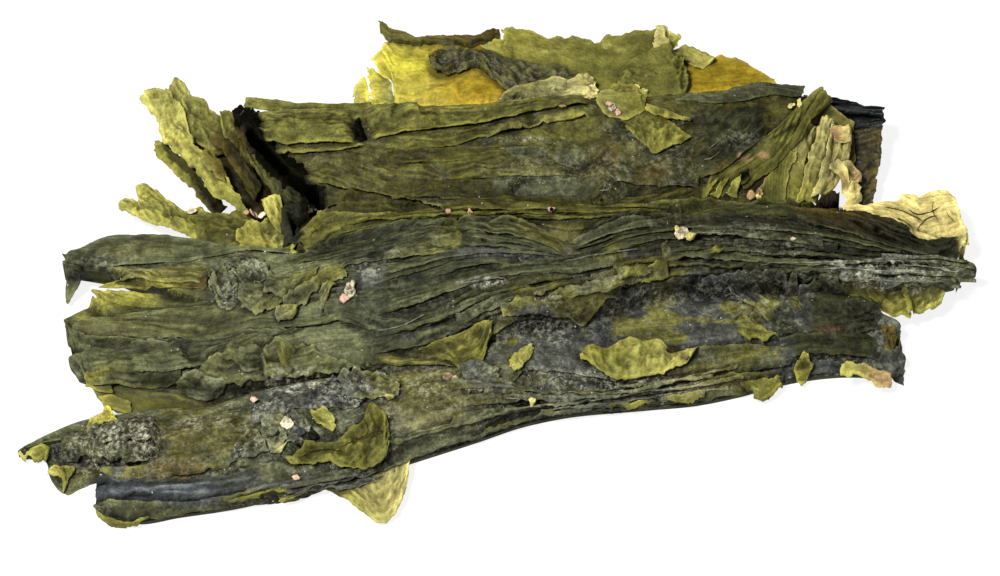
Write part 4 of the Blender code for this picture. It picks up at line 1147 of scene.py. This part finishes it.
def front_plies():
    """The plates, crusts and torn leaves of the front run."""
    ply = "front_plies"
    sheet(ply, [(24, 456), (36, 450), (48, 447), (66, 440), (90, 428), (118, 420), (150, 416)],
          [(24, 460), (46, 462), (50, 478), (64, 494), (90, 485), (120, 481), (155, 476)],
          (GREYGREEN, OLIVE_PALE), PLATE.but(patch=SLATE, salt=0.5, crumple=(0.7, 4)))
    sheet(ply, [(21, 457), (34, 451), (48, 447)], [(22, 460), (34, 462), (48, 462)], (LIME, LEAF), THIN)
    sheet(ply, [(50, 466), (62, 468), (75, 470)], [(48, 478), (60, 480), (64, 495)], (LIME, OLIVE_PALE),
          THIN)
    sheet(ply, [(88, 421), (100, 415), (112, 414), (120, 421)],
          [(88, 430), (100, 426), (112, 424), (120, 425)], (LIME, YELLOW), THIN)
    for far, near in (
        ([(60, 442), (90, 430), (120, 420), (158, 424)], [(62, 462), (90, 462), (125, 462), (160, 455)]),
        ([(96, 430), (120, 420), (150, 416)], [(98, 446), (125, 442), (156, 440)]),
        ([(110, 444), (130, 440), (160, 446)], [(112, 460), (132, 462), (160, 460)]),
    ):
        sheet(ply, far, near, (DARK, UMBER), CRUST.but(salt=0.9, crumple=(1.2, 2.4)))
    sheet(ply, [(150, 412), (200, 408), (250, 404)], [(160, 478), (210, 470), (250, 455)],
          (OLIVE, GREYGREEN), PLATE.but(salt=0.35, patch=OLIVE_PALE, crumple=(0.5, 5)))
    sheet(ply, [(98, 484), (116, 481), (160, 480), (215, 478), (250, 470), (285, 458)],
          [(95, 508), (110, 506), (160, 505), (205, 506), (250, 499), (290, 486)], (INK, SLATE),
          PLATE.but(salt=0.1, rim=SLATE, lift=(0.4, 1.2, 0.5), stria=(0.7, 3.5), fade=(0, 7)))
    sheet(ply, [(94, 507), (130, 502), (180, 503), (230, 498), (280, 487), (330, 477), (380, 466)],
          [(100, 518), (125, 527), (150, 523), (185, 517), (240, 511), (300, 499), (385, 474)],
          (GREYGREEN, OLIVE), PLATE.but(salt=0.3, lift=(0.2, 1.0, 0.5), rim=OLIVE_PALE))
    sheet(ply, [(240, 470), (280, 462), (330, 470), (400, 440), (460, 424), (520, 408), (600, 398)],
          [(250, 498), (300, 486), (350, 478), (410, 462), (470, 444), (530, 424), (604, 414)],
          (GREYGREEN, GREYGREEN), PLATE.but(salt=0.4, lift=(0.4, 1.0, 0.2)))
    sheet(ply, [(600, 400), (660, 392), (720, 380), (780, 372)],
          [(604, 416), (660, 410), (720, 402), (782, 386)], (GREYGREEN, OLIVE),
          PLATE.but(salt=0.4, rim=OLIVE_PALE, lift=(0.3, 1.0, 0.6)))
    leaf = THIN.but(crumple=(0.6, 4.5))
    sheet(ply, [(494, 369), (505, 367), (522, 363)], [(497, 382), (507, 389), (520, 378)],
          (PALEGREY, OLIVE), leaf.but(rim=PALEGREY, lift=(0.4, 0.6, 0.2)))
    sheet(ply, [(510, 366), (514, 357), (522, 348), (533, 344)],
          [(512, 369), (520, 368), (527, 359), (534, 351)], (LEAF, LIME), leaf.but(lift=(0.5, 0.8, 0.3)))
    sheet(ply, [(728, 322), (742, 318), (760, 326), (784, 334)],
          [(734, 334), (748, 341), (764, 343), (786, 338)], (OLIVE_PALE, LEAF),
          leaf.but(rim=OLIVE_PALE, lift=(0.5, 0.8, 0.2), fade=(4, 4)))
    sheet("front_yellow_leaf", [(578, 357), (591, 345), (604, 348), (622, 339), (631, 336), (646, 341),
                                (661, 339), (667, 348), (679, 351), (697, 348)],
          [(578, 359), (595, 367), (607, 377), (622, 381), (634, 380), (646, 376), (667, 374), (676, 368),
           (686, 363), (692, 356)], (LEAF, LIME),
          leaf.but(crumple=(1.4, 3.6), lift=(1.1, 1.8, 0.3), ragged=(0.5, 0.7), stria=(0.12, 3.4),
                   way=(1.0, 0.7)))
    dark = BLADE.but(crumple=(0.8, 5), rim=GREYGREEN, salt=0.15)
    sheet(ply, [(700, 284), (730, 278), (765, 284), (800, 292)],
          [(724, 296), (752, 306), (780, 332), (806, 338)], (SLATE, DEEP), dark.but(salt=0.45))
    sheet(ply, [(798, 292), (830, 290), (866, 300), (888, 318)],
          [(800, 326), (818, 334), (860, 334), (886, 328)], (DARK, DEEP), dark)
    sheet(ply, [(780, 338), (830, 334), (886, 338)], [(782, 356), (840, 357), (886, 357)], (DARK, DARK),
          dark.but(lift=(1.0, 1.2, 0.4), salt=0.05))
    sheet(ply, [(884, 326), (892, 324), (898, 336)], [(884, 350), (892, 352), (899, 346)], (BROWN, BROWN),
          leaf)
    sheet(ply, [(880, 350), (894, 346), (901, 350)], [(880, 372), (892, 380), (904, 385)], (SLATE, SLATE),
          PLATE)
    sheet(ply, [(812, 364), (828, 364), (844, 364)], [(812, 376), (828, 376), (844, 374)], (INK, INK),
          PLATE)
    sheet("right_end_leaf", [(840, 362), (856, 361), (872, 366), (884, 374), (893, 377)],
          [(842, 375), (856, 376), (870, 382), (882, 388), (892, 391)], (LIME, RUST), leaf, (8, 5, 7, 3))
    sheet(ply, [(797, 366), (806, 363), (814, 368)], [(793, 378), (802, 385), (811, 374)],
          (LEAF, OLIVE_PALE), THIN, (4, 4, 2, 2))
    for far, near in (
        ([(762, 386), (770, 382), (782, 382)], [(753, 399), (762, 402), (774, 394)]),
        ([(300, 492), (290, 496), (280, 500)], [(320, 486), (300, 499), (284, 503)]),
    ):
        sheet(ply, far, near, (LIME, LEAF), THIN, (4, 4, 2, 2))
    for far, near, tints in (
        ([(254, 402), (276, 392), (310, 388), (340, 378), (358, 392)],
         [(254, 424), (276, 416), (310, 410), (336, 410), (362, 404)], (SLATE, INK)),
        ([(262, 416), (282, 412), (300, 420)], [(262, 446), (280, 452), (290, 440)], (PALEGREY, PALE)),
        ([(286, 418), (300, 414), (312, 424)], [(288, 440), (300, 444), (312, 436)], (SLATE, PALEGREY)),
        ([(236, 440), (250, 432), (266, 440)], [(232, 462), (250, 458), (268, 452)], (INK, GREYGREEN)),
        ([(340, 376), (370, 372), (400, 378)], [(342, 396), (372, 400), (398, 396)],
         (GREYGREEN, OLIVE_PALE)),
        ([(462, 366), (480, 362), (498, 366)], [(464, 388), (482, 392), (500, 380)], (SLATE, PALEGREY)),
    ):
        sheet(ply, far, near, tints, CRUST)
    narrow = BLADE.but(stria=(0.35, 1.8), crumple=(0.3, 4), lift=(0.4, 0.7, 0.0), fade=(10, 10), salt=0.3)
    flow(ply, [(396, 442), (460, 424), (520, 408), (600, 398), (680, 388), (760, 374)],
         [(400, 462), (470, 445), (530, 427), (604, 416), (690, 404), (770, 388)], 6,
         (GREYGREEN, SLATE, OLIVE, DARK), narrow, 33)
    flow(ply, [(250, 472), (300, 463), (350, 457), (400, 442)],
         [(240, 509), (300, 498), (360, 483), (412, 465)], 7, (GREYGREEN, SLATE, DARK), narrow, 34)
    flow(ply, [(160, 416), (210, 408), (256, 402)], [(165, 476), (215, 466), (256, 456)], 5,
         (OLIVE, GREYGREEN, DARK), narrow, 35)
    flow(ply, [(400, 380), (460, 372), (540, 390), (620, 390), (700, 376), (790, 350)],
         [(400, 430), (460, 420), (540, 408), (620, 398), (700, 386), (790, 368)], 6,
         (SLATE, GREYGREEN, OLIVE), narrow.but(salt=0.6, lift=(0.3, 0.5, 0.0)), 36)
    fringe = THIN.but(crumple=(0.4, 3), ragged=(0.2, 0.6), rim=None, lift=(0.3, 0.5, 0.1), fade=(3, 3))
    for far, near in (
        ([(96, 512), (110, 520), (128, 524), (150, 520)], [(96, 517), (110, 526), (130, 529), (152, 524)]),
        ([(228, 502), (256, 496), (290, 488)], [(232, 508), (258, 504), (294, 494)]),
        ([(606, 408), (630, 406), (656, 404)], [(610, 413), (630, 417), (652, 411)]),
        ([(660, 402), (680, 398), (706, 392)], [(664, 410), (686, 407), (704, 400)]),
        ([(742, 384), (760, 382), (784, 376)], [(746, 394), (764, 402), (782, 390)]),
    ):
        sheet(ply, far, near, (OLIVE_PALE, LEAF), fringe)
    # the near-black bits are painted shadow in holes
    bits(ply, [
        (254, 400, 4, 3, PINK), (296, 478, 4, 2, PINK), (532, 403, 4, 3, PALE), (389, 397, 6, 3, TAN),
        (399, 442, 6, 4, GREYGREEN), (287, 424, 7, 6, CREAM), (283, 438, 5, 5, PALEGREY),
        (272, 432, 6, 5, PALEGREY), (310, 437, 9, 5, SHADOW_BLACK), (300, 432, 5, 4, INK),
        (672, 350, 7, 3, UMBER), (686, 357, 3, 2, RUST), (893, 342, 3, 6, BROWN), (884, 330, 3, 3, BROWN),
        (300, 446, 6, 3, SHADOW_BLACK),
    ])
    fibres(
        ply, HAIR, [(715, 282), (730, 290), (742, 303)], [(720, 300), (732, 296), (745, 298)],
        [(704, 300), (722, 286), (730, 280)], [(604, 330), (616, 338), (622, 350)],
        [(690, 300), (700, 312), (716, 316)], [(520, 330), (535, 326), (552, 330)],
        [(526, 372), (532, 380), (528, 388)], [(594, 396), (600, 402), (598, 410)],
        [(560, 342), (566, 348), (568, 356)], [(552, 378), (562, 376), (570, 380)],
        [(502, 396), (512, 400), (524, 398)], [(720, 300), (728, 292), (740, 300)],
    )
    sheet(ply, [(310, 411), (318, 408), (334, 417)], [(314, 419), (326, 426), (337, 430)], (LEAF, LIME),
          leaf)
    sheet("front_green_leaf", [(287, 458), (302, 448), (340, 440), (362, 420), (371, 403), (382, 412),
                               (389, 426)],
          [(290, 463), (320, 463), (346, 469), (368, 470), (378, 466), (385, 460), (389, 446)],
          (OLIVE_PALE, OLIVE_PALE),
          leaf.but(lift=(1.0, 1.4, 1.0), crumple=(1.9, 4.6), ragged=(0.7, 0.7), rim=OLIVE_PALE))
    fibres(
        "front_green_leaf", UMBER, [(360, 412), (368, 430), (366, 462)],
        [(340, 446), (362, 438), (388, 430)], [(370, 408), (374, 424), (386, 440)],
        [(300, 456), (322, 450), (350, 452)],
    )


def spotted(spots, soft, seed):
    """A raster of how far each place is inside one of the spots, from 0 to 1. A spot is a picture point
    and its half sizes in the picture."""
    columns, rows = (np.arange(count) * PITCH for count in ground.shape)
    x, y = np.meshgrid(WEST + columns, SOUTH + rows, indexing="ij")
    ragged = 0.55 * fractal(x / 2.6, y / 2.2, seed)
    centres = seat([spot[:2] for spot in spots], 0)
    nearest = np.full(x.shape, BARE)
    for (cx, cy, _), (_, _, wide, tall) in zip(centres, spots):
        nearest = np.minimum(nearest, np.hypot((x - cx) / (wide * ACROSS), (y - cy) / (tall * DEEP_PIXEL)))
    return 1 - step(nearest - ragged, 0.95 - soft, 1.05 + soft)


def stain():
    """Paints the patches of other colours and the painted sheen, and adds the patches of salt."""
    colours = [
        (spotted(spots, soft, STAIN_SEED + 10 * k), colour) for k, (colour, soft, spots) in enumerate(STAINS_AND_SHEEN)
    ]
    dusts = [
        (spotted(spots, DUST_SOFT, DUST_SEED + 10 * k), amount) for k, (amount, spots) in enumerate(DUST)
    ]
    for name, sheets in pieces.items():
        if name in UNSTAINED:
            continue
        for k, (x, y, z, tint, salt, along, across) in enumerate(sheets):
            for mask, colour in colours:
                tint = blend(tint, colour, read(mask, x, y))
            for mask, amount in dusts:
                salt = np.maximum(salt, amount * read(mask, x, y))
            sheets[k] = (x, y, z, tint, salt, along, across)


def border(grid):
    """The values round a grid's border, in order."""
    return np.concatenate([grid[:, 0], grid[-1, 1:], grid[-2::-1, -1], grid[0, -2:0:-1]])


def quads(number):
    """The faces between the numbered points of a grid."""
    return np.stack([number[:-1, :-1], number[1:, :-1], number[1:, 1:], number[:-1, 1:]], -1).reshape(-1, 4)


def shade_of(x, y, z):
    """How much painted shade darkens a place's colour: darker in hollows between folds, both wide and narrow
    ones.
    """
    wide, narrow = (z - read(mean, x, y) for mean in means)
    return (0.36 + 0.9 * step(wide, -1.8, 1.2)) * (0.42 + 0.78 * step(narrow, -0.35, 0.3))


def shell(name, sheets, painted_shade_power, wall=None):
    """One mesh from the sheets of a piece. Each has a rim that turns down, so its edge has a thickness.
    The painted shade power is how much painted shade darkens the colour in the hollows."""
    verts, faces, tints, salts, lays = [], [], [], [], []
    base = 0
    if wall:
        side, side_faces = walls(*wall)
        verts.append(side)
        faces.append(side_faces)
        base = len(side)
        # painted shade: a run's sides and underside are coloured DARK, as if in shadow
        tints.append(np.tile(DARK, (base, 1)))
        salts.append(np.zeros((base, 1)))
        lays.append(side[:, [0, 2, 1]])
    for x, y, z, tint, salt, along, across in sheets:
        nu, nv = x.shape
        number = np.arange(nu * nv).reshape(nu, nv) + base
        verts.append(np.stack([x, y, z], -1).reshape(-1, 3))
        faces.append(quads(number))
        loop = border(number) - base
        rim = verts[-1][loop] - np.array([0, 0, EDGE])
        rim[:, 2] = np.maximum(rim[:, 2], RIM_FLOOR)
        low = base + nu * nv + np.arange(len(loop))
        faces.append(np.stack([loop + base, low, np.roll(low, -1), np.roll(loop, -1) + base], -1))
        verts.append(rim)
        # painted shade: the colour is darkened in hollows, as if shadowed there
        shade = shade_of(x, y, z) ** painted_shade_power
        where = np.stack([along, across, z], -1)
        for store, values, depth in ((tints, tint * shade[..., None], 3), (salts, salt, 1),
                                     (lays, where, 3)):
            values = values.reshape(-1, depth)
            store += [values, values[loop]]
        base += nu * nv + len(loop)
    return make_mesh(name, np.concatenate(verts), np.concatenate(faces), np.concatenate(tints),
                     np.concatenate(salts), np.concatenate(lays))


def make_mesh(name, verts, faces, tints, salts, lays):
    """An object with the colour, painted shade included, the salt and the place along and across its sheet
    of each point.
    """
    mesh = bpy.data.meshes.new(name)
    mesh.vertices.add(len(verts))
    mesh.vertices.foreach_set("co", (verts * MM).astype(np.float32).ravel())
    mesh.loops.add(faces.size)
    mesh.loops.foreach_set("vertex_index", faces.astype(np.int32).ravel())
    mesh.polygons.add(len(faces))
    mesh.polygons.foreach_set("loop_start", np.arange(0, faces.size, 4, dtype=np.int32))
    mesh.update(calc_edges=True)
    mesh.validate()
    mesh.shade_smooth()
    opaque = np.concatenate([tints, np.ones((len(tints), 1))], 1)
    for label, kind, field, values in (
        ("tint", "FLOAT_COLOR", "color", opaque), ("salt", "FLOAT", "value", salts),
        ("lay", "FLOAT_VECTOR", "vector", lays),
    ):
        attribute = mesh.attributes.new(label, kind, "POINT")
        attribute.data.foreach_set(field, values.astype(np.float32).ravel())
    piece = bpy.data.objects.new(name, mesh)
    bpy.context.scene.collection.objects.link(piece)
    return piece


def walls(x, y, top, under):
    """The sides of a run from its top's border down to its underside, and a flat floor under it."""
    high, low = border(top), border(under)
    levels = [high + (low - high) * share for share in WALL_SHARES]
    verts = np.concatenate([np.stack([border(x), border(y), level], 1) for level in levels])
    ring = np.arange(len(high) * len(levels)).reshape(len(levels), -1)
    after = np.roll(ring, -1, axis=1)
    faces = np.stack([ring[:-1], after[:-1], after[1:], ring[1:]], -1).reshape(-1, 4)
    coarse = (slice(None, None, FLOOR_STEP), slice(None, None, FLOOR_STEP))
    underside = np.stack([x[coarse], y[coarse], under[coarse]], -1)
    floor = np.arange(underside[..., 0].size).reshape(underside.shape[:2]) + len(verts)
    down = quads(floor)[:, [0, 3, 2, 1]]
    return np.concatenate([verts, underside.reshape(-1, 3)]), np.concatenate([faces, down])


def material(name, gloss=0.55, grain=1.0, shine=0.14, streaked=0.35):
    """Dried kelp: the sheets' own tint, which holds painted shade, with mottling, faint lines along the ply,
    painted shade along fine creases, and salt. Grain is how strong the mottling, the painted crease shade
    and the bumps are, and streaked how strong the lines."""
    look = bpy.data.materials.new(name)
    look.use_nodes = True
    nodes, links = look.node_tree.nodes, look.node_tree.links
    nodes.clear()

    def add(kind, **settings):
        node = nodes.new("ShaderNode" + kind)
        for key, value in settings.items():
            setattr(node, key, value)
        return node

    def combine(operation, a, b):
        node = add("Math", operation=operation)
        for socket, value in zip(node.inputs, (a, b)):
            if hasattr(value, "node"):
                links.new(value, socket)
            else:
                socket.default_value = value
        return node.outputs[0]

    def ranged(value, low, high, to_low, to_high):
        node = add("MapRange", interpolation_type="SMOOTHSTEP")
        links.new(value, node.inputs["Value"])
        for socket, number in zip(("From Min", "From Max", "To Min", "To Max"),
                                  (low, high, to_low, to_high)):
            node.inputs[socket].default_value = number
        return node.outputs[0]

    def varied(value, amount):
        return ranged(value, 0.3, 0.7, 1 - amount * grain, 1 + amount * grain)

    def noise_of(vector, scale, detail, rough):
        node = add("TexNoise")
        links.new(vector, node.inputs["Vector"])
        node.inputs["Scale"].default_value = scale
        node.inputs["Detail"].default_value = detail
        node.inputs["Roughness"].default_value = rough
        return node.outputs[0]

    tint = add("Attribute", attribute_name="tint").outputs["Color"]
    salt = add("Attribute", attribute_name="salt").outputs["Fac"]
    parts = add("SeparateXYZ")
    links.new(add("Attribute", attribute_name="lay").outputs["Vector"], parts.inputs[0])
    along, across = parts.outputs[:2]
    where = add("VectorMath", operation="SCALE")
    links.new(add("TexCoord").outputs["Object"], where.inputs[0])
    where.inputs["Scale"].default_value = 1 / MM
    stretched = add("CombineXYZ")
    links.new(combine("MULTIPLY", along, 0.06), stretched.inputs[0])
    links.new(combine("MULTIPLY", across, 1.3), stretched.inputs[1])

    mottle = noise_of(where.outputs[0], scale=0.22, detail=7, rough=0.62)
    fine = noise_of(where.outputs[0], scale=1.3, detail=4, rough=0.8)
    streak = noise_of(stretched.outputs[0], scale=1.0, detail=5, rough=0.65)
    crease = noise_of(where.outputs[0], scale=0.3, detail=5, rough=0.5)
    fold = combine("ABSOLUTE", combine("SUBTRACT", crease, 0.5), 0)
    light = combine("MULTIPLY", varied(mottle, 0.45), varied(streak, streaked))
    light = combine("MULTIPLY", light, varied(fine, 0.3))
    # painted shade: darker along the fine creases
    light = combine("MULTIPLY", light, ranged(fold, 0.0, 0.02, 1 - 0.3 * grain, 1))
    shaded = add("VectorMath", operation="SCALE")
    links.new(tint, shaded.inputs[0])
    links.new(light, shaded.inputs["Scale"])

    patches = noise_of(where.outputs[0], scale=0.22, detail=3, rough=0.6)
    cover = combine("MULTIPLY", salt, ranged(patches, 0.35, 0.65, 0.2, 1.0))
    grains = noise_of(where.outputs[0], scale=0.7, detail=6, rough=0.76)
    clumps = ranged(grains, 0.44, 0.63, 0.03, 1.0)
    haze = combine("MULTIPLY", clumps, cover)
    cells = add("TexVoronoi")
    links.new(where.outputs[0], cells.inputs["Vector"])
    cells.inputs["Scale"].default_value = 1.1
    random = add("SeparateColor")
    links.new(cells.outputs["Color"], random.inputs[0])
    chosen = combine("LESS_THAN", random.outputs[0], combine("ADD", combine("MULTIPLY", cover, 0.34), 0.01))
    size = combine("MULTIPLY", random.outputs[1], 0.3)
    dot = combine("MULTIPLY", combine("LESS_THAN", cells.outputs["Distance"], size), chosen)
    crust = combine("MAXIMUM", haze, combine("MULTIPLY", dot, 0.6))
    mix = add("Mix", data_type="RGBA")
    links.new(crust, mix.inputs["Factor"])
    links.new(shaded.outputs[0], mix.inputs["A"])
    mix.inputs["B"].default_value = (*SALT, 1)

    bump = add("Bump")
    bump.inputs["Distance"].default_value = 0.3 * MM
    bump.inputs["Strength"].default_value = 0.6 * grain
    height = combine("ADD", combine("MULTIPLY", streak, 1.1), combine("MULTIPLY", fine, 0.7))
    height = combine("ADD", height, combine("MULTIPLY", fold, 9.0))
    links.new(combine("ADD", height, combine("MULTIPLY", crust, 0.4)), bump.inputs["Height"])

    shader = add("BsdfPrincipled")
    links.new(mix.outputs["Result"], shader.inputs["Base Color"])
    rough = ranged(fine, 0.3, 0.7, gloss - 0.08, gloss + 0.12)
    links.new(combine("ADD", rough, combine("MULTIPLY", crust, 0.3)), shader.inputs["Roughness"])
    hue = add("SeparateColor")
    links.new(tint, hue.inputs[0])
    links.new(ranged(hue.outputs[1], 0.003, 0.012, 0, shine), shader.inputs["Specular IOR Level"])
    links.new(bump.outputs[0], shader.inputs["Normal"])
    links.new(shader.outputs[0], add("OutputMaterial").inputs["Surface"])
    return look


# How strongly painted shade darkens the hollows of a thin leaf, against that of a run
LEAF_PAINTED_SHADE = {"kelp_green": 0.75, "kelp_yellow": 0.75, "kelp_tan": 0.5}


def build_pieces():
    """The kelp's pieces: each replaces its solid or lies on one, and rides on the one body."""
    looks = {
        "kelp_back_run": material("kelp_back_run", streaked=0.2),
        "kelp_middle_run": material("kelp_middle_run"),
        "kelp_front_run": material("kelp_front_run"),
        "kelp_dark": material("kelp_dark", gloss=0.45, shine=0.4),
        "kelp_green": material("kelp_green", gloss=0.6, grain=0.8, streaked=0.15),
        "kelp_yellow": material("kelp_yellow", gloss=0.5, grain=0.6, streaked=0.15),
        "kelp_tan": material("kelp_tan", gloss=0.65, grain=0.7, streaked=0.2),
    }
    slots = {part["node"]: part["material_slot"] for part in frame["record"]["subparts"]}
    extra = {
        "back_plies": "kelp_back_run", "middle_plies_left": "kelp_middle_run",
        "middle_plies_right": "kelp_middle_run", "front_plies": "kelp_front_run",
    }
    for name, sheets in pieces.items():
        replaced = name in slots
        slot = slots[name] if replaced else extra[name]
        piece = shell(name + "_look", sheets, LEAF_PAINTED_SHADE.get(slot, 1.0), run_walls.get(name))
        piece.data.materials.append(looks[slot])
        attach(piece, "root")
        if replaced:
            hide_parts(name)


# The light
LAMP_PLACE = (-0.7, -0.35, 1.5)
LAMP_SIZE, LAMP_POWER = 0.4, 36.0
FLOOR_GREY, FLOOR_GLOW = 0.2, 0.85
SKY_STRENGTH = 0.28


def make_floor():
    """A white floor that glows a little, so that it stays white in shade."""
    bpy.ops.mesh.primitive_plane_add(size=4, location=(0, 0, 0))
    floor = bpy.context.object
    floor.name = "floor"
    white = bpy.data.materials.new("floor_white")
    white.use_nodes = True
    shader = white.node_tree.nodes["Principled BSDF"]
    shader.inputs["Base Color"].default_value = (FLOOR_GREY, FLOOR_GREY, FLOOR_GREY, 1)
    shader.inputs["Emission Color"].default_value = (1, 1, 1, 1)
    shader.inputs["Emission Strength"].default_value = FLOOR_GLOW
    shader.inputs["Roughness"].default_value = 1.0
    shader.inputs["Specular IOR Level"].default_value = 0.0
    floor.data.materials.append(white)


def make_light():
    """A white sky, and a soft lamp at the front left."""
    world = bpy.data.worlds.new("studio")
    bpy.context.scene.world = world
    world.use_nodes = True
    background = world.node_tree.nodes["Background"]
    background.inputs["Color"].default_value = (1, 1, 1, 1)
    background.inputs["Strength"].default_value = SKY_STRENGTH
    lamp = bpy.data.lights.new("key", "AREA")
    lamp.shape = "DISK"
    lamp.size = LAMP_SIZE
    lamp.energy = LAMP_POWER
    light = bpy.data.objects.new("key", lamp)
    light.location = LAMP_PLACE
    light.rotation_euler = Vector(LAMP_PLACE).to_track_quat("Z", "Y").to_euler()
    bpy.context.scene.collection.objects.link(light)


def make_camera():
    """The camera, where the picture was taken from."""
    lens = bpy.data.cameras.new("camera")
    lens.lens, lens.sensor_width = LENS, SENSOR
    lens.clip_start, lens.clip_end = 0.01, 20
    camera = bpy.data.objects.new("camera", lens)
    back = (0, -math.cos(ELEVATION), math.sin(ELEVATION))
    camera.location = [(at + DISTANCE * way) * MM for at, way in zip(TARGET, back)]
    camera.rotation_euler = (math.pi / 2 - ELEVATION, 0, 0)
    bpy.context.scene.collection.objects.link(camera)
    bpy.context.scene.camera = camera
    bpy.context.scene.view_settings.view_transform = "Standard"


lowest_leaves()
runs()
back_leaves()
left_leaves()
right_leaves()
back_plies()
front_plates()
middle_plies()
front_plies()
stain()
# The mean height round each place, far and near, from which the painted shade in hollows is found
means = (blurred(blurred(ground, 6), 6), blurred(blurred(ground, 2), 1))
build_pieces()
make_floor()
make_light()
make_camera()
